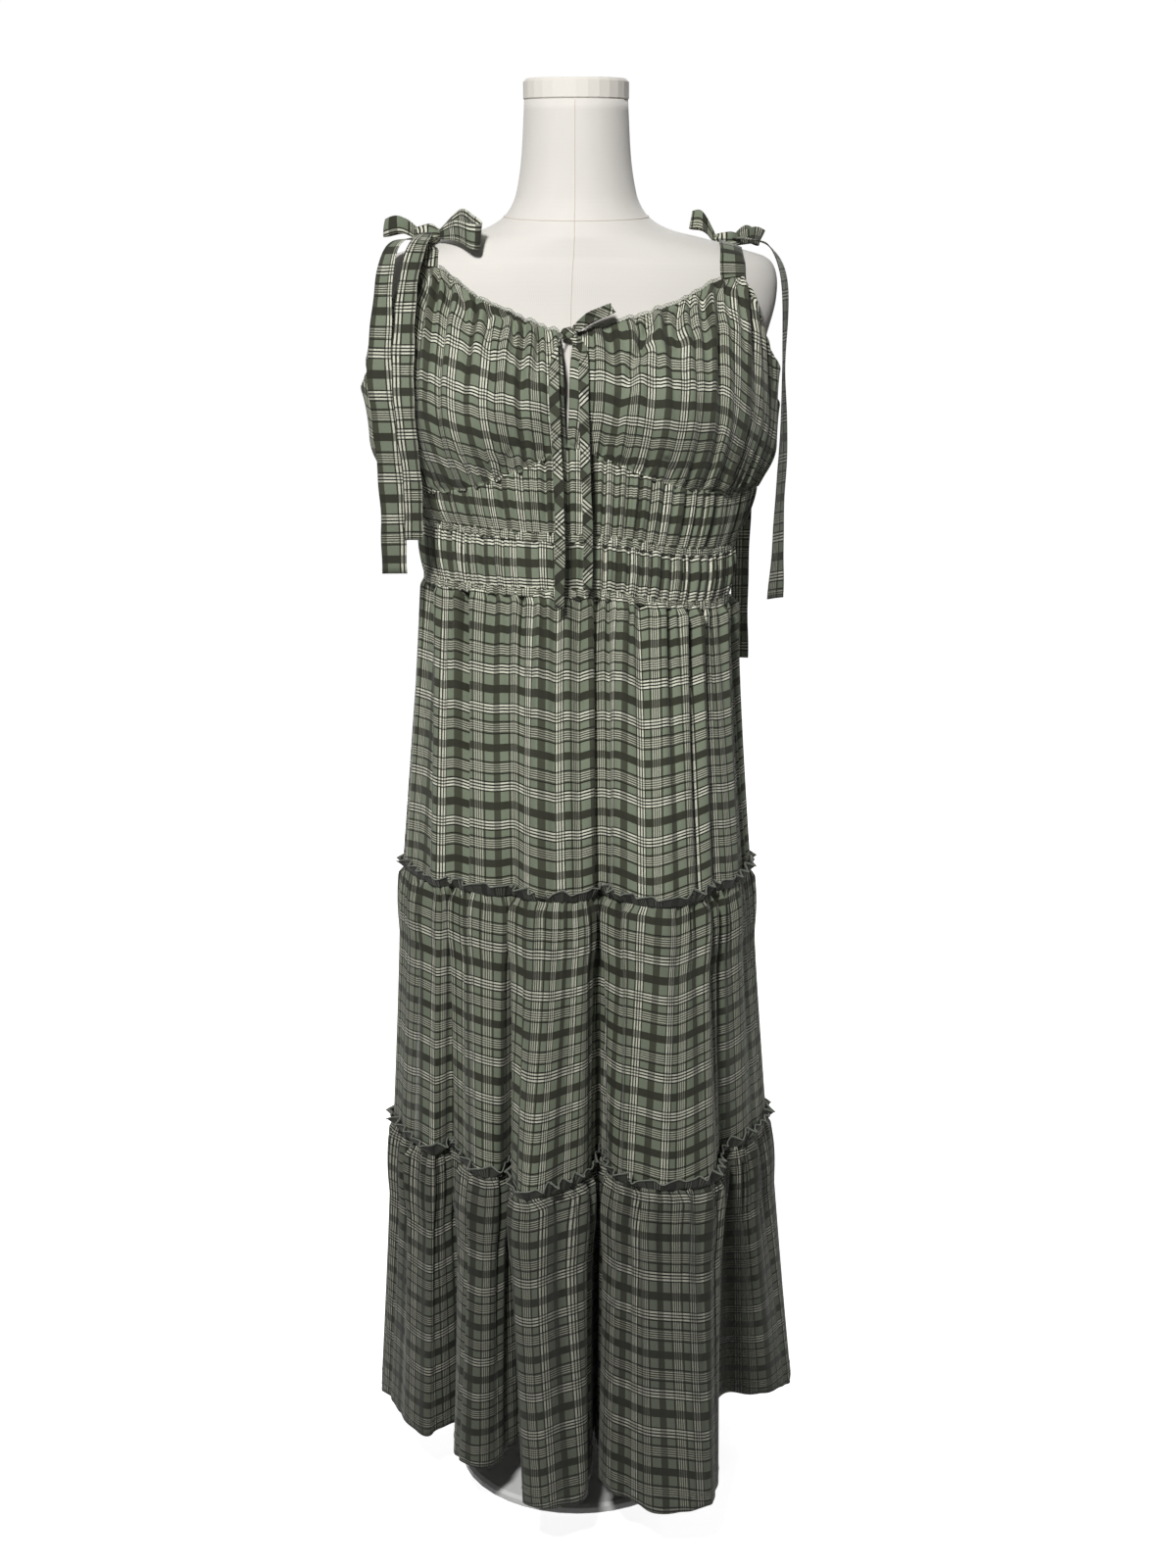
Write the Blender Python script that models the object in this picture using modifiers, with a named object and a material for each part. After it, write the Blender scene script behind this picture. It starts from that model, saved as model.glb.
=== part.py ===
"""Tiered maxi dress with tie straps, worn on a limbless dress form with a round stand.

Metres, +Z up, the front of the dress faces -Y. The origin is on the floor under the pole.
The cloth pieces are open sheets given a wall by Solidify; folds come from the tables below.
"""

import math

import bmesh
import bpy
import numpy as np

for item in list(bpy.data.objects):
    bpy.data.objects.remove(item, do_unlink=True)

# Named sizes, in metres.
WALL = 0.0014
SEAM = 0.0003
SIDE_GAP = 0.0006
CENTRE_FRONT = -0.009
WAIST_Z = 1.038
SEAM_1_Z = 0.713
SEAM_2_Z = 0.409
HEM_Z = 0.070
FRILL_HEIGHT = 0.012
FRILL_OUT = 0.0052
FRILL_WAVE = 0.0030
FRILL_WALL = 0.0012
# A frill lies flatter where the next fold of the skirt is nearer than this.
FRILL_ROOM = 0.030
# Columns of a frill are at least this far apart, also where a valley of the skirt is tight.
FRILL_LEAST_STEP = 0.0014
# How far tiers 2 and 3 puff out below their gathered seams, and over which share of the tier.
TIER_PUFF = 0.0030
TIER_PUFF_SHARE = 0.25
TIE_WALL = 0.0012
# A tie starts this far off its knot.
KNOT_CLEAR = 0.0008
# The length of one step of a tie that lies on the form.
STRAP_STEP = 0.0075
STRAP_CLEAR = 0.0007
FORM_BOTTOM_Z = 0.750
FORM_TOP_Z = 1.5235
CAP_RADIUS = 0.0535
CAP_TOP_Z = 1.544
POLE_RADIUS = 0.0125
BASE_RADIUS = 0.135
BASE_HEIGHT = 0.012

# The dress form from bottom to top. Columns: height, half width, front, back, squareness.
FORM_SECTIONS = (
    (0.750, 0.140, 0.070, 0.088, 2.2),
    (0.756, 0.147, 0.077, 0.096, 2.2),
    (0.800, 0.151, 0.083, 0.102, 2.2),
    (0.850, 0.152, 0.089, 0.103, 2.2),
    (0.910, 0.142, 0.092, 0.098, 2.2),
    (0.970, 0.129, 0.090, 0.090, 2.2),
    (1.030, 0.122, 0.088, 0.086, 2.2),
    (1.080, 0.127, 0.094, 0.088, 2.2),
    (1.135, 0.141, 0.110, 0.093, 2.2),
    (1.180, 0.149, 0.121, 0.097, 2.3),
    (1.215, 0.153, 0.119, 0.099, 2.4),
    (1.240, 0.160, 0.111, 0.100, 2.4),
    (1.252, 0.186, 0.106, 0.100, 2.3),
    (1.292, 0.197, 0.094, 0.098, 2.2),
    (1.322, 0.205, 0.088, 0.096, 2.1),
    (1.346, 0.2065, 0.085, 0.093, 2.0),
    (1.362, 0.202, 0.082, 0.090, 1.9),
    (1.370, 0.193, 0.080, 0.088, 1.8),
    (1.377, 0.170, 0.079, 0.086, 1.8),
    (1.384, 0.146, 0.078, 0.083, 1.8),
    (1.390, 0.122, 0.077, 0.080, 1.8),
    (1.396, 0.098, 0.074, 0.076, 1.9),
    (1.404, 0.081, 0.068, 0.070, 2.0),
    (1.414, 0.070, 0.062, 0.064, 2.0),
    (1.430, 0.062, 0.057, 0.058, 2.0),
    (1.465, 0.056, 0.054, 0.054, 2.0),
    (1.5235, 0.0525, 0.0525, 0.0525, 2.0),
)

# Skirt folds, once round from the left side seam over the front, the right side and the back.
# Columns: name, then x and y at the waist, at the first seam, at the second seam and at the hem.
SKIRT_FOLDS = (
    ("side_left", -0.160, 0.004, -0.188, 0.010, -0.206, 0.010, -0.229, 0.016),
    ("lobe1_front", -0.139, -0.057, -0.152, -0.058, -0.160, -0.074, -0.172, -0.084),
    ("valley1", -0.125, -0.071, -0.131, -0.062, -0.138, -0.052, -0.130, -0.052),
    ("lobe2_left", -0.112, -0.081, -0.119, -0.074, -0.116, -0.112, -0.137, -0.126),
    ("lobe2_ridge", -0.096, -0.092, -0.100, -0.089, -0.101, -0.133, -0.117, -0.155),
    ("lobe2_right", -0.080, -0.099, -0.080, -0.095, -0.084, -0.130, -0.089, -0.140),
    ("valley2", -0.066, -0.104, -0.067, -0.091, -0.069, -0.094, -0.064, -0.092),
    ("lobe3_left", -0.050, -0.109, -0.056, -0.105, -0.064, -0.180, -0.055, -0.220),
    ("lobe3_ridge", -0.028, -0.113, -0.030, -0.115, -0.046, -0.190, -0.032, -0.238),
    ("lobe3_right", 0.005, -0.115, 0.007, -0.112, 0.006, -0.142, 0.010, -0.203),
    ("valley3", 0.024, -0.114, 0.024, -0.088, 0.024, -0.072, 0.019, -0.056),
    ("lobe4_left", 0.040, -0.112, 0.041, -0.106, 0.041, -0.134, 0.031, -0.190),
    ("lobe4_mid", 0.062, -0.107, 0.066, -0.127, 0.064, -0.157, 0.064, -0.226),
    ("lobe4_ridge", 0.088, -0.097, 0.096, -0.134, 0.096, -0.167, 0.108, -0.241),
    ("lobe4_right", 0.112, -0.083, 0.128, -0.112, 0.144, -0.148, 0.148, -0.222),
    ("valley4", 0.126, -0.071, 0.142, -0.083, 0.156, -0.072, 0.162, -0.012),
    ("lobe5_front", 0.143, -0.053, 0.165, -0.060, 0.184, -0.042, 0.224, 0.012),
    ("side_right", 0.160, 0.000, 0.187, 0.006, 0.211, 0.018, 0.252, 0.042),
    ("lobe5_back", 0.155, 0.028, 0.181, 0.042, 0.208, 0.056, 0.240, 0.080),
    ("valley5", 0.141, 0.049, 0.161, 0.065, 0.168, 0.080, 0.180, 0.100),
    ("lobe6_right", 0.126, 0.065, 0.146, 0.082, 0.176, 0.110, 0.208, 0.140),
    ("lobe6_left", 0.104, 0.080, 0.122, 0.102, 0.146, 0.142, 0.176, 0.190),
    ("valley6", 0.084, 0.089, 0.098, 0.101, 0.110, 0.118, 0.118, 0.140),
    ("lobe7_right", 0.064, 0.097, 0.076, 0.122, 0.096, 0.172, 0.112, 0.220),
    ("lobe7_left", 0.044, 0.102, 0.050, 0.129, 0.056, 0.186, 0.064, 0.240),
    ("valley7", 0.022, 0.105, 0.026, 0.114, 0.029, 0.130, 0.032, 0.152),
    ("lobe8_right", 0.002, 0.106, 0.005, 0.131, 0.008, 0.186, 0.010, 0.236),
    ("lobe8_left", -0.024, 0.105, -0.026, 0.132, -0.034, 0.188, -0.042, 0.240),
    ("valley8", -0.046, 0.101, -0.053, 0.112, -0.060, 0.126, -0.070, 0.146),
    ("lobe9_right", -0.064, 0.096, -0.072, 0.124, -0.084, 0.174, -0.096, 0.224),
    ("lobe9_left", -0.086, 0.087, -0.100, 0.110, -0.124, 0.156, -0.144, 0.204),
    ("valley9", -0.105, 0.078, -0.119, 0.090, -0.134, 0.106, -0.146, 0.126),
    ("lobe10_right", -0.124, 0.065, -0.142, 0.084, -0.170, 0.120, -0.196, 0.156),
    ("lobe10_left", -0.142, 0.048, -0.166, 0.060, -0.193, 0.082, -0.222, 0.108),
    ("valley10", -0.151, 0.034, -0.176, 0.046, -0.190, 0.058, -0.204, 0.072),
    ("lobe1_back", -0.157, 0.020, -0.185, 0.030, -0.204, 0.036, -0.228, 0.046),
)
SIDE_RIGHT_ROW = 17

# Half of the bodice ring, from the centre front to the centre back, for the viewer's right.
# Columns: name, then x, y, z at the seam under the bust and x, y, z at the fullest height.
BODICE_RING = (
    ("centre_front", 0.000, -0.1285, 1.190, 0.002, -0.1300, 1.246),
    ("cup_inner", 0.036, -0.1275, 1.175, 0.040, -0.1400, 1.236),
    ("cup_middle", 0.070, -0.1210, 1.160, 0.078, -0.1430, 1.226),
    ("cup_outer", 0.101, -0.1080, 1.148, 0.114, -0.1330, 1.220),
    ("strap_inner", 0.130, -0.0890, 1.141, 0.150, -0.1070, 1.222),
    ("strap_outer", 0.155, -0.0620, 1.137, 0.180, -0.0740, 1.226),
    ("armhole", 0.178, -0.0280, 1.135, 0.203, -0.0330, 1.202),
    ("side", 0.188, 0.0120, 1.134, 0.208, 0.0180, 1.172),
    ("armhole_back", 0.174, 0.0480, 1.134, 0.194, 0.0540, 1.196),
    ("strap_back_outer", 0.145, 0.0800, 1.134, 0.163, 0.0860, 1.212),
    ("strap_back_inner", 0.112, 0.0980, 1.134, 0.130, 0.1040, 1.212),
    ("back_middle", 0.060, 0.1110, 1.134, 0.068, 0.1150, 1.206),
    ("centre_back", 0.000, 0.1150, 1.134, 0.000, 0.1180, 1.202),
)
# The upper edge of the bodice. Columns: name, x and z on the viewer's right, x and z on the
# viewer's left, and how far the edge stands off the form (armhole rows give y instead).
BODICE_TOP = (
    ("centre_front", -0.0020, 1.2985, -0.0160, 1.2975, 0.0035),
    ("cup_inner", 0.0290, 1.3050, -0.0400, 1.3060, 0.0035),
    ("cup_middle", 0.0660, 1.3150, -0.0700, 1.3190, 0.0035),
    ("cup_outer", 0.1040, 1.3280, -0.1010, 1.3330, 0.0035),
    ("strap_inner", 0.1450, 1.3490, -0.1380, 1.3600, 0.0040),
    ("strap_outer", 0.1700, 1.3510, -0.1640, 1.3610, 0.0060),
)
# Armhole and back edge. Columns: name, x on the right, x on the left, y, z.
BODICE_TOP_BACK = (
    ("armhole", 0.1980, -0.2120, -0.0380, 1.2800),
    ("side", 0.2090, -0.2160, 0.0200, 1.2140),
    ("armhole_back", 0.1980, -0.2040, 0.0560, 1.2500),
    ("strap_back_outer", 0.1720, -0.1700, 0.0620, 1.3300),
    ("strap_back_inner", 0.1440, -0.1420, 0.0760, 1.3280),
    ("back_middle", 0.0700, -0.0700, 0.0980, 1.3020),
    ("centre_back", 0.0000, 0.0000, 0.1040, 1.2960),
)
# The two elasticated rings. Columns: name, half width, front, back, z left, z middle, z right.
ELASTIC_RINGS = (
    ("upper_elastic", 0.164, 0.119, 0.106, 1.102, 1.096, 1.074),
    ("waist_elastic", 0.160, 0.115, 0.106, 1.041, 1.040, 1.018),
)


def material(name, colour, rough):
    """A plain Principled material of its own for one solid."""
    made = bpy.data.materials.new(name)
    made.use_nodes = True
    shader = made.node_tree.nodes["Principled BSDF"]
    shader.inputs["Base Color"].default_value = (*colour, 1.0)
    shader.inputs["Roughness"].default_value = rough
    return made


CLOTH_COLOUR = (0.16, 0.19, 0.14)
FRILL_COLOUR = (0.05, 0.06, 0.04)
FORM_COLOUR = (0.80, 0.77, 0.72)
STAND_COLOUR = (0.72, 0.70, 0.66)

group = bpy.data.collections.new("tiered_maxi_dress")
bpy.context.scene.collection.children.link(group)


def finished(obj, name, colour, rough):
    """Gives an object its name, its place in the group, its material and smooth shading."""
    obj.name = name
    for holder in list(obj.users_collection):
        holder.objects.unlink(obj)
    group.objects.link(obj)
    obj.data.materials.append(material(name + "_material", colour, rough))
    for polygon in obj.data.polygons:
        polygon.use_smooth = True
    return obj


def keep(name, points, faces, colour, rough=0.9, edges=()):
    """Makes one mesh object from points and faces, or from points and edges."""
    mesh = bpy.data.meshes.new(name)
    mesh.from_pydata([tuple(float(c) for c in p) for p in points], edges, faces)
    mesh.update()
    return finished(bpy.data.objects.new(name, mesh), name, colour, rough)


def turned_out(obj):
    """Recalculates the normals of a closed mesh so that they face out."""
    work = bmesh.new()
    work.from_mesh(obj.data)
    bmesh.ops.recalc_face_normals(work, faces=work.faces)
    work.to_mesh(obj.data)
    work.free()
    return obj


def spline(rows, per, closed=True):
    """Points through the rows by a Catmull-Rom curve, per steps between two rows."""
    rows = np.asarray(rows, float)
    count = len(rows)
    made = []
    for i in range(count if closed else count - 1):
        first, last = rows[i], rows[(i + 1) % count]
        before = rows[i - 1] if closed or i else 2 * first - last
        after = rows[(i + 2) % count] if closed or i + 2 < count else 2 * last - first
        reach = np.linalg.norm((last - first)[:2])
        lead = (last - before) * 0.5
        leave = (after - first) * 0.5
        lead *= min(1.0, reach / max(np.linalg.norm(lead[:2]), 1e-9))
        leave *= min(1.0, reach / max(np.linalg.norm(leave[:2]), 1e-9))
        for k in range(per):
            t = k / per
            made.append(
                first * (2 * t**3 - 3 * t**2 + 1)
                + lead * (t**3 - 2 * t**2 + t)
                + last * (3 * t**2 - 2 * t**3)
                + leave * (t**3 - t**2)
            )
    if not closed:
        made.append(rows[-1])
    return np.array(made)


def smooth(t):
    """A soft step from 0 to 1."""
    t = min(max(t, 0.0), 1.0)
    return t * t * (3 - 2 * t)


def form_row(z):
    """Half width, front, back and squareness of the form at height z."""
    heights = [row[0] for row in FORM_SECTIONS]
    return [np.interp(z, heights, [row[k] for row in FORM_SECTIONS]) for k in (1, 2, 3, 4)]


def form_front(x, z):
    """How far forward the form reaches at x and z, as a y value."""
    half, front, _, square = form_row(z)
    share = min(abs(x) / half, 0.999)
    return -front * (1 - share**square) ** (1 / square)


def sheet(name, grid, colour, wall=WALL, side=-1.0):
    """An open sheet from a grid of points, given its wall by Solidify on the side given.

    The grid runs along the piece in each row, and the rows run from top to bottom. Each
    square is split along its shorter diagonal, so that both faces of the wall match.
    """
    rows, columns = len(grid), len(grid[0])
    points = np.array([p for row in grid for p in row], float)
    faces = []
    for j in range(rows - 1):
        for i in range(columns - 1):
            at = j * columns + i
            low, across, right = at + columns, at + columns + 1, at + 1
            if np.linalg.norm(points[at] - points[across]) < np.linalg.norm(points[low] - points[right]):
                faces += [(at, low, across), (at, across, right)]
            else:
                faces += [(at, low, right), (low, across, right)]
    obj = keep(name, points, faces, colour)
    wall_maker = obj.modifiers.new("wall", "SOLIDIFY")
    wall_maker.thickness = wall
    wall_maker.offset = side
    return obj


def block(name, rings, colour, rough=0.9):
    """A closed solid lofted through rings of points, with a fan on each end."""
    count = len(rings[0])
    points = [p for ring in rings for p in ring]
    faces = []
    for j in range(len(rings) - 1):
        for i in range(count):
            k = (i + 1) % count
            faces.append((j * count + i, j * count + k, (j + 1) * count + k, (j + 1) * count + i))
    for j, ring in ((0, rings[0]), (len(rings) - 1, rings[-1])):
        points.append(np.mean(np.array(ring, float), axis=0))
        for i in range(count):
            faces.append((len(points) - 1, j * count + i, j * count + (i + 1) % count))
    return turned_out(keep(name, points, faces, colour, rough))


def ribbon(name, path):
    """A flat tie along a path of rows that hold a centre point and half the width as a vector."""
    rows = np.array(path, float)
    centre, half = rows[:, :3], rows[:, 3:]
    sheet(name, [centre + half, centre - half], CLOTH_COLOUR, TIE_WALL, 0.0)


def finer(path, per):
    """The path rows joined by a smooth curve, per steps between rows."""
    rows = np.array(path, float)
    made = []
    for i in range(len(rows) - 1):
        first, last = rows[i], rows[i + 1]
        before = rows[i - 1] if i else 2 * first - last
        after = rows[i + 2] if i + 2 < len(rows) else 2 * last - first
        for k in range(per):
            t = k / per
            made.append(
                first * (2 * t**3 - 3 * t**2 + 1)
                + (last - before) * 0.5 * (t**3 - 2 * t**2 + t)
                + last * (3 * t**2 - 2 * t**3)
                + (after - first) * 0.5 * (t**3 - t**2)
            )
    made.append(rows[-1])
    return made


# The dress form, its cap, pole and base.
def form_ring(row, count=28):
    """One ring of the form, with the flat arm plates at the sides."""
    z, half, front, back, square = row
    ring = []
    for i in range(count):
        angle = 2 * math.pi * i / count
        side, ahead = math.sin(angle), math.cos(angle)
        x = half * math.copysign(abs(side) ** (2 / square), side)
        y = -(front if ahead > 0 else back) * math.copysign(abs(ahead) ** (2 / square), ahead)
        ring.append((x, y, z))
    return ring


block("form_torso", [form_ring(row) for row in FORM_SECTIONS], FORM_COLOUR, 0.85)


def turned(name, profile, colour, steps, rough):
    """A round solid from rows of radius and height, turned about the Z axis by a Screw."""
    points = [(0, 0, profile[0][1])] + [(r, 0, z) for r, z in profile] + [(0, 0, profile[-1][1])]
    edges = [(i, i + 1) for i in range(len(points) - 1)]
    obj = keep(name, points, [], colour, rough, edges)
    turn = obj.modifiers.new("turn", "SCREW")
    turn.steps = steps
    turn.render_steps = steps
    turn.use_merge_vertices = True
    turn.merge_threshold = 0.0001
    turn.use_normal_calculate = True
    return obj


turned(
    "form_neck_cap",
    (
        (CAP_RADIUS - 0.001, FORM_TOP_Z + SEAM),
        (CAP_RADIUS, FORM_TOP_Z + 0.0015),
        (CAP_RADIUS, CAP_TOP_Z - 0.003),
        (CAP_RADIUS - 0.003, CAP_TOP_Z),
    ),
    FORM_COLOUR,
    28,
    0.6,
)
turned(
    "stand_base",
    (
        (BASE_RADIUS - 0.002, 0.0),
        (BASE_RADIUS, 0.002),
        (BASE_RADIUS, BASE_HEIGHT - 0.004),
        (BASE_RADIUS - 0.004, BASE_HEIGHT - 0.001),
        (POLE_RADIUS + 0.014, BASE_HEIGHT),
    ),
    STAND_COLOUR,
    40,
    0.4,
)
pole_low, pole_high = BASE_HEIGHT + SEAM, FORM_BOTTOM_Z - SEAM
bpy.ops.mesh.primitive_cylinder_add(
    vertices=16,
    radius=POLE_RADIUS,
    depth=pole_high - pole_low,
    location=(0, 0, (pole_low + pole_high) / 2),
)
finished(bpy.context.object, "stand_pole", STAND_COLOUR, 0.4)


# The skirt: three tiers between four plans.
def skirt_plan(level, per):
    """The plan of the skirt at one level as x and y points, once round."""
    first = 1 + 2 * level
    return spline([row[first : first + 2] for row in SKIRT_FOLDS], per)


def waist_z(x):
    """Height of the waist seam, which hangs lower on the viewer's right."""
    left, middle, right = ELASTIC_RINGS[1][4:]
    if x < 0:
        return middle + (left - middle) * smooth(-x / 0.16)
    return middle + (right - middle) * smooth(x / 0.15)


def plan_normals(plan):
    """Outward unit vectors at the points of a closed plan."""
    after = np.roll(plan, -1, axis=0) - plan
    before = plan - np.roll(plan, 1, axis=0)
    after /= np.linalg.norm(after, axis=1)[:, None]
    before /= np.linalg.norm(before, axis=1)[:, None]
    along = after + before
    along /= np.linalg.norm(along, axis=1)[:, None]
    return np.column_stack((along[:, 1], -along[:, 0]))


def mitres(plan):
    """How much longer a step along each point's normal must be to clear its two edges by 1."""
    after = np.roll(plan, -1, axis=0) - plan
    after /= np.linalg.norm(after, axis=1)[:, None]
    normals = plan_normals(plan)
    edge = np.column_stack((after[:, 1], -after[:, 0]))
    return 1 / np.maximum((normals * edge).sum(axis=1), 0.3)


PER = 2
LEVEL_Z = (WAIST_Z, SEAM_1_Z, SEAM_2_Z, HEM_Z)
FIRST_BACK = SIDE_RIGHT_ROW * PER
PLANS = [skirt_plan(level, PER) for level in range(4)]


def tier_grid(tier, steps):
    """Rows of points once round for one tier, from its gathered top to its lower edge."""
    top, low = PLANS[tier - 1], PLANS[tier]
    top_z, low_z = LEVEL_Z[tier - 1], LEVEL_Z[tier]
    grid = []
    for t in steps:
        plan = top + (low - top) * t
        if tier > 1:
            puff = TIER_PUFF * math.sin(math.pi * min(t / TIER_PUFF_SHARE, 1.0))
            plan = plan + plan_normals(plan) * puff
        row = []
        for x, y in plan:
            start = waist_z(x) - SEAM if tier == 1 else top_z - SEAM
            row.append((x, y, start + (low_z - start) * t))
        grid.append(row)
    return grid


def halves(grid):
    """The front and the back half of a grid that runs once round, apart at the side seams."""
    count = len(grid[0])
    front = [list(row[: FIRST_BACK + 1]) for row in grid]
    back = [list(row[FIRST_BACK:]) + [row[0]] for row in grid]
    for half in (front, back):
        for row in half:
            for end, inner in ((0, 1), (-1, -2)):
                a, b = np.array(row[end]), np.array(row[inner])
                step = b - a
                row[end] = tuple(a + step / np.linalg.norm(step) * SIDE_GAP)
    return front, back


TIER_STEPS = {1: (0, 0.3, 0.65, 1), 2: (0, 0.12, 0.4, 0.7, 1), 3: (0, 0.12, 0.4, 0.7, 1)}
for tier in (1, 2, 3):
    front, back = halves(tier_grid(tier, TIER_STEPS[tier]))
    sheet(f"tier_{tier}_front", front, CLOTH_COLOUR)
    sheet(f"tier_{tier}_back", back, CLOTH_COLOUR)


# The frilled headings of tiers 2 and 3.
def room_ahead(plan, at, normal, most):
    """How far the cloth at a point can move along normal before it meets the plan again."""
    found = most
    ends = np.roll(plan, -1, axis=0)
    for a, b in zip(plan, ends):
        if min(np.linalg.norm(a - at), np.linalg.norm(b - at)) < 1e-6:
            continue
        side = b - a
        cross = normal[0] * side[1] - normal[1] * side[0]
        if abs(cross) < 1e-12:
            continue
        gap = a - at
        along = (gap[0] * side[1] - gap[1] * side[0]) / cross
        share = (gap[0] * normal[1] - gap[1] * normal[0]) / cross
        if 0 <= share <= 1 and 1e-6 < along < found:
            found = along
    return found


def frill_grid(level, half):
    """Rows of a frill over half of the plan: the base on the seam and the waved free edge."""
    plan = PLANS[level]
    normals = plan_normals(plan)
    longer = mitres(plan)
    count = len(plan)
    first, last = (0, FIRST_BACK) if half == "front" else (FIRST_BACK, count)
    base, free = [], []
    quarter = 0
    for i in range(first, last):
        a, b = plan[i % count], plan[(i + 1) % count]
        na, nb = normals[i % count], normals[(i + 1) % count]
        length = np.linalg.norm(b - a)
        steps = max(1, round(length / (0.0038, 0.0043)[level - 1]))
        for k in range(steps + (i == last - 1)):
            t = k / steps
            at = a + (b - a) * t
            normal = na + (nb - na) * t
            normal /= np.linalg.norm(normal)
            flat = np.array((b[1] - a[1], a[0] - b[0])) / length
            mitre = 1 / max(float(normal @ flat), 0.3)
            if k == 0:
                mitre = longer[i % count]
            wave = (0.0, 1.0, 0.0, -1.0)[quarter % 4]
            room = room_ahead(plan, at, normal, 0.05)
            share = min(1.0, room / FRILL_ROOM)
            lift = 0.85 + 0.25 * math.sin(quarter * 0.71) + 0.15 * math.sin(quarter * 0.23)
            out = (FRILL_OUT + FRILL_WAVE * wave * lift) * share + 0.0008 * mitre
            low = np.array((*(at + normal * (SEAM + WALL) * mitre), LEVEL_Z[level] + SEAM))
            high = LEVEL_Z[level] + FRILL_HEIGHT * (1 + 0.12 * math.sin(quarter * 0.37))
            high = np.array((*(at + normal * (out + WALL)), high))
            quarter += 1
            along = np.array((-normal[1], normal[0], 0.0))
            if base and min((low - base[-1]) @ along, (high - free[-1]) @ along) < FRILL_LEAST_STEP:
                continue
            base.append(low)
            free.append(high)
    for row in (base, free):
        row[0] = row[0] + (row[1] - row[0]) * 0.12
        row[-1] = row[-1] + (row[-2] - row[-1]) * 0.12
    return [free, base]


for level in (1, 2):
    for half in ("front", "back"):
        sheet(f"tier_{level + 1}_{half}_frill", frill_grid(level, half), FRILL_COLOUR, FRILL_WALL)


# The bodice and the two midriff bands share one ring of columns.
def side_sign(side):
    """The sign of x on one side."""
    return 1.0 if side == "right" else -1.0


def under_point(row, side):
    """The point of a ring row on the seam under the bust."""
    return (side_sign(side) * row[1], row[2], row[3])


def full_point(row, side):
    """The point of a ring row at the fullest height, a little wider at the left armhole."""
    x = row[4] + (0.006 if side == "left" and row[0] in ("armhole", "side") else 0.0)
    return (side_sign(side) * x, row[5], row[6])


def top_point(name, side):
    """The point of a row on the upper edge of the bodice."""
    for row in BODICE_TOP:
        if row[0] == name:
            x, z = (row[1], row[2]) if side == "right" else (row[3], row[4])
            return (x, form_front(x, z) - WALL - row[5], z)
    row = next(row for row in BODICE_TOP_BACK if row[0] == name)
    return (row[1] if side == "right" else row[2], row[3], row[4])


def bodice_columns(side, first, last):
    """Under, full and top points of the rows from first to last on one side."""
    names = [row[0] for row in BODICE_RING]
    rows = BODICE_RING[names.index(first) : names.index(last) + 1]
    return [(under_point(r, side), full_point(r, side), top_point(r[0], side)) for r in rows]


def bodice_grid(columns, per, steps, under, straight):
    """A grid from the top edge down to the seam under the bust, whose points are given.

    The top edge is straight in the spans that start at the rows named by straight.
    """
    full, top = (spline([c[k] for c in columns], per, closed=False) for k in (1, 2))
    for span in straight:
        a, b = top[span * per].copy(), top[(span + 1) * per].copy()
        for k in range(per):
            top[span * per + k] = a + (b - a) * k / per
    grid = []
    for t in steps:
        row = []
        for u, f, p in zip(under, full, top):
            up = (f[2] - u[2]) / (p[2] - u[2])
            share = 1 - t
            if share < up:
                s = share / up
                point = u + (f - u) * s
                point[:2] += (f - u)[:2] * (math.sin(math.pi / 2 * s) - s)
            else:
                s = (share - up) / (1 - up)
                point = f + (p - f) * s
                point[:2] -= (p - f)[:2] * (s - (1 - math.cos(math.pi / 2 * s)))
            row.append(point)
        grid.append(row)
    return grid


BODICE_STEPS = (0, 0.06, 0.25, 0.45, 0.65, 0.85, 1)


def shifted_ends(grid, first, last):
    """The grid with its first and last columns moved along the rows by the given lengths."""
    for row in grid:
        for end, inner, move in ((0, 1, first), (-1, -2, last)):
            step = np.array(row[inner]) - np.array(row[end])
            row[end] = np.array(row[end]) + step / np.linalg.norm(step) * move
    return grid


def back_columns():
    """Under, full and top points once across the back, from the right armhole to the left."""
    right = bodice_columns("right", "armhole", "centre_back")
    left = bodice_columns("left", "armhole", "centre_back")
    return right + list(reversed(left[:-1]))


def under_ring(half, cut):
    """The seam under the bust over one half, with cut points left off at each end."""
    if half == "front":
        right = [under_point(r, "right") for r in BODICE_RING[:9]]
        left = [under_point(r, "left") for r in BODICE_RING[1:9]]
        centre = (CENTRE_FRONT, right[0][1], right[0][2])
        ring = spline(list(reversed(left)) + [centre] + right[1:], 2, closed=False)
    else:
        ring = spline([c[0] for c in back_columns()], 2, closed=False)
    return ring[cut : len(ring) - cut]


def front_side(side):
    """The front of one side, from the keyhole edge to the side seam."""
    columns = bodice_columns(side, "centre_front", "armhole_back")
    under, full, top = columns[0]
    edge = 0.0003 * side_sign(side)
    columns[0] = (
        (CENTRE_FRONT + edge, under[1], under[2]),
        (CENTRE_FRONT + edge * 8, full[1], full[2]),
        top,
    )
    ring = under_ring("front", 0)
    middle = 2 * 8
    under = ring[middle:] if side == "right" else ring[middle::-1]
    under = [point.copy() for point in under]
    under[0][0] += edge
    grid = [row[:-2] for row in bodice_grid(columns, 2, BODICE_STEPS, under, (4,))]
    grid = shifted_ends(grid, 0.0, SIDE_GAP)
    for row in grid:
        for i, point in enumerate(row):
            row[i] = point + np.array((0, 0, SEAM / 2))
    return [list(reversed(row)) for row in grid] if side == "left" else grid


sheet("bodice_front_right", front_side("right"), CLOTH_COLOUR)
sheet("bodice_front_left", front_side("left"), CLOTH_COLOUR)


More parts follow.
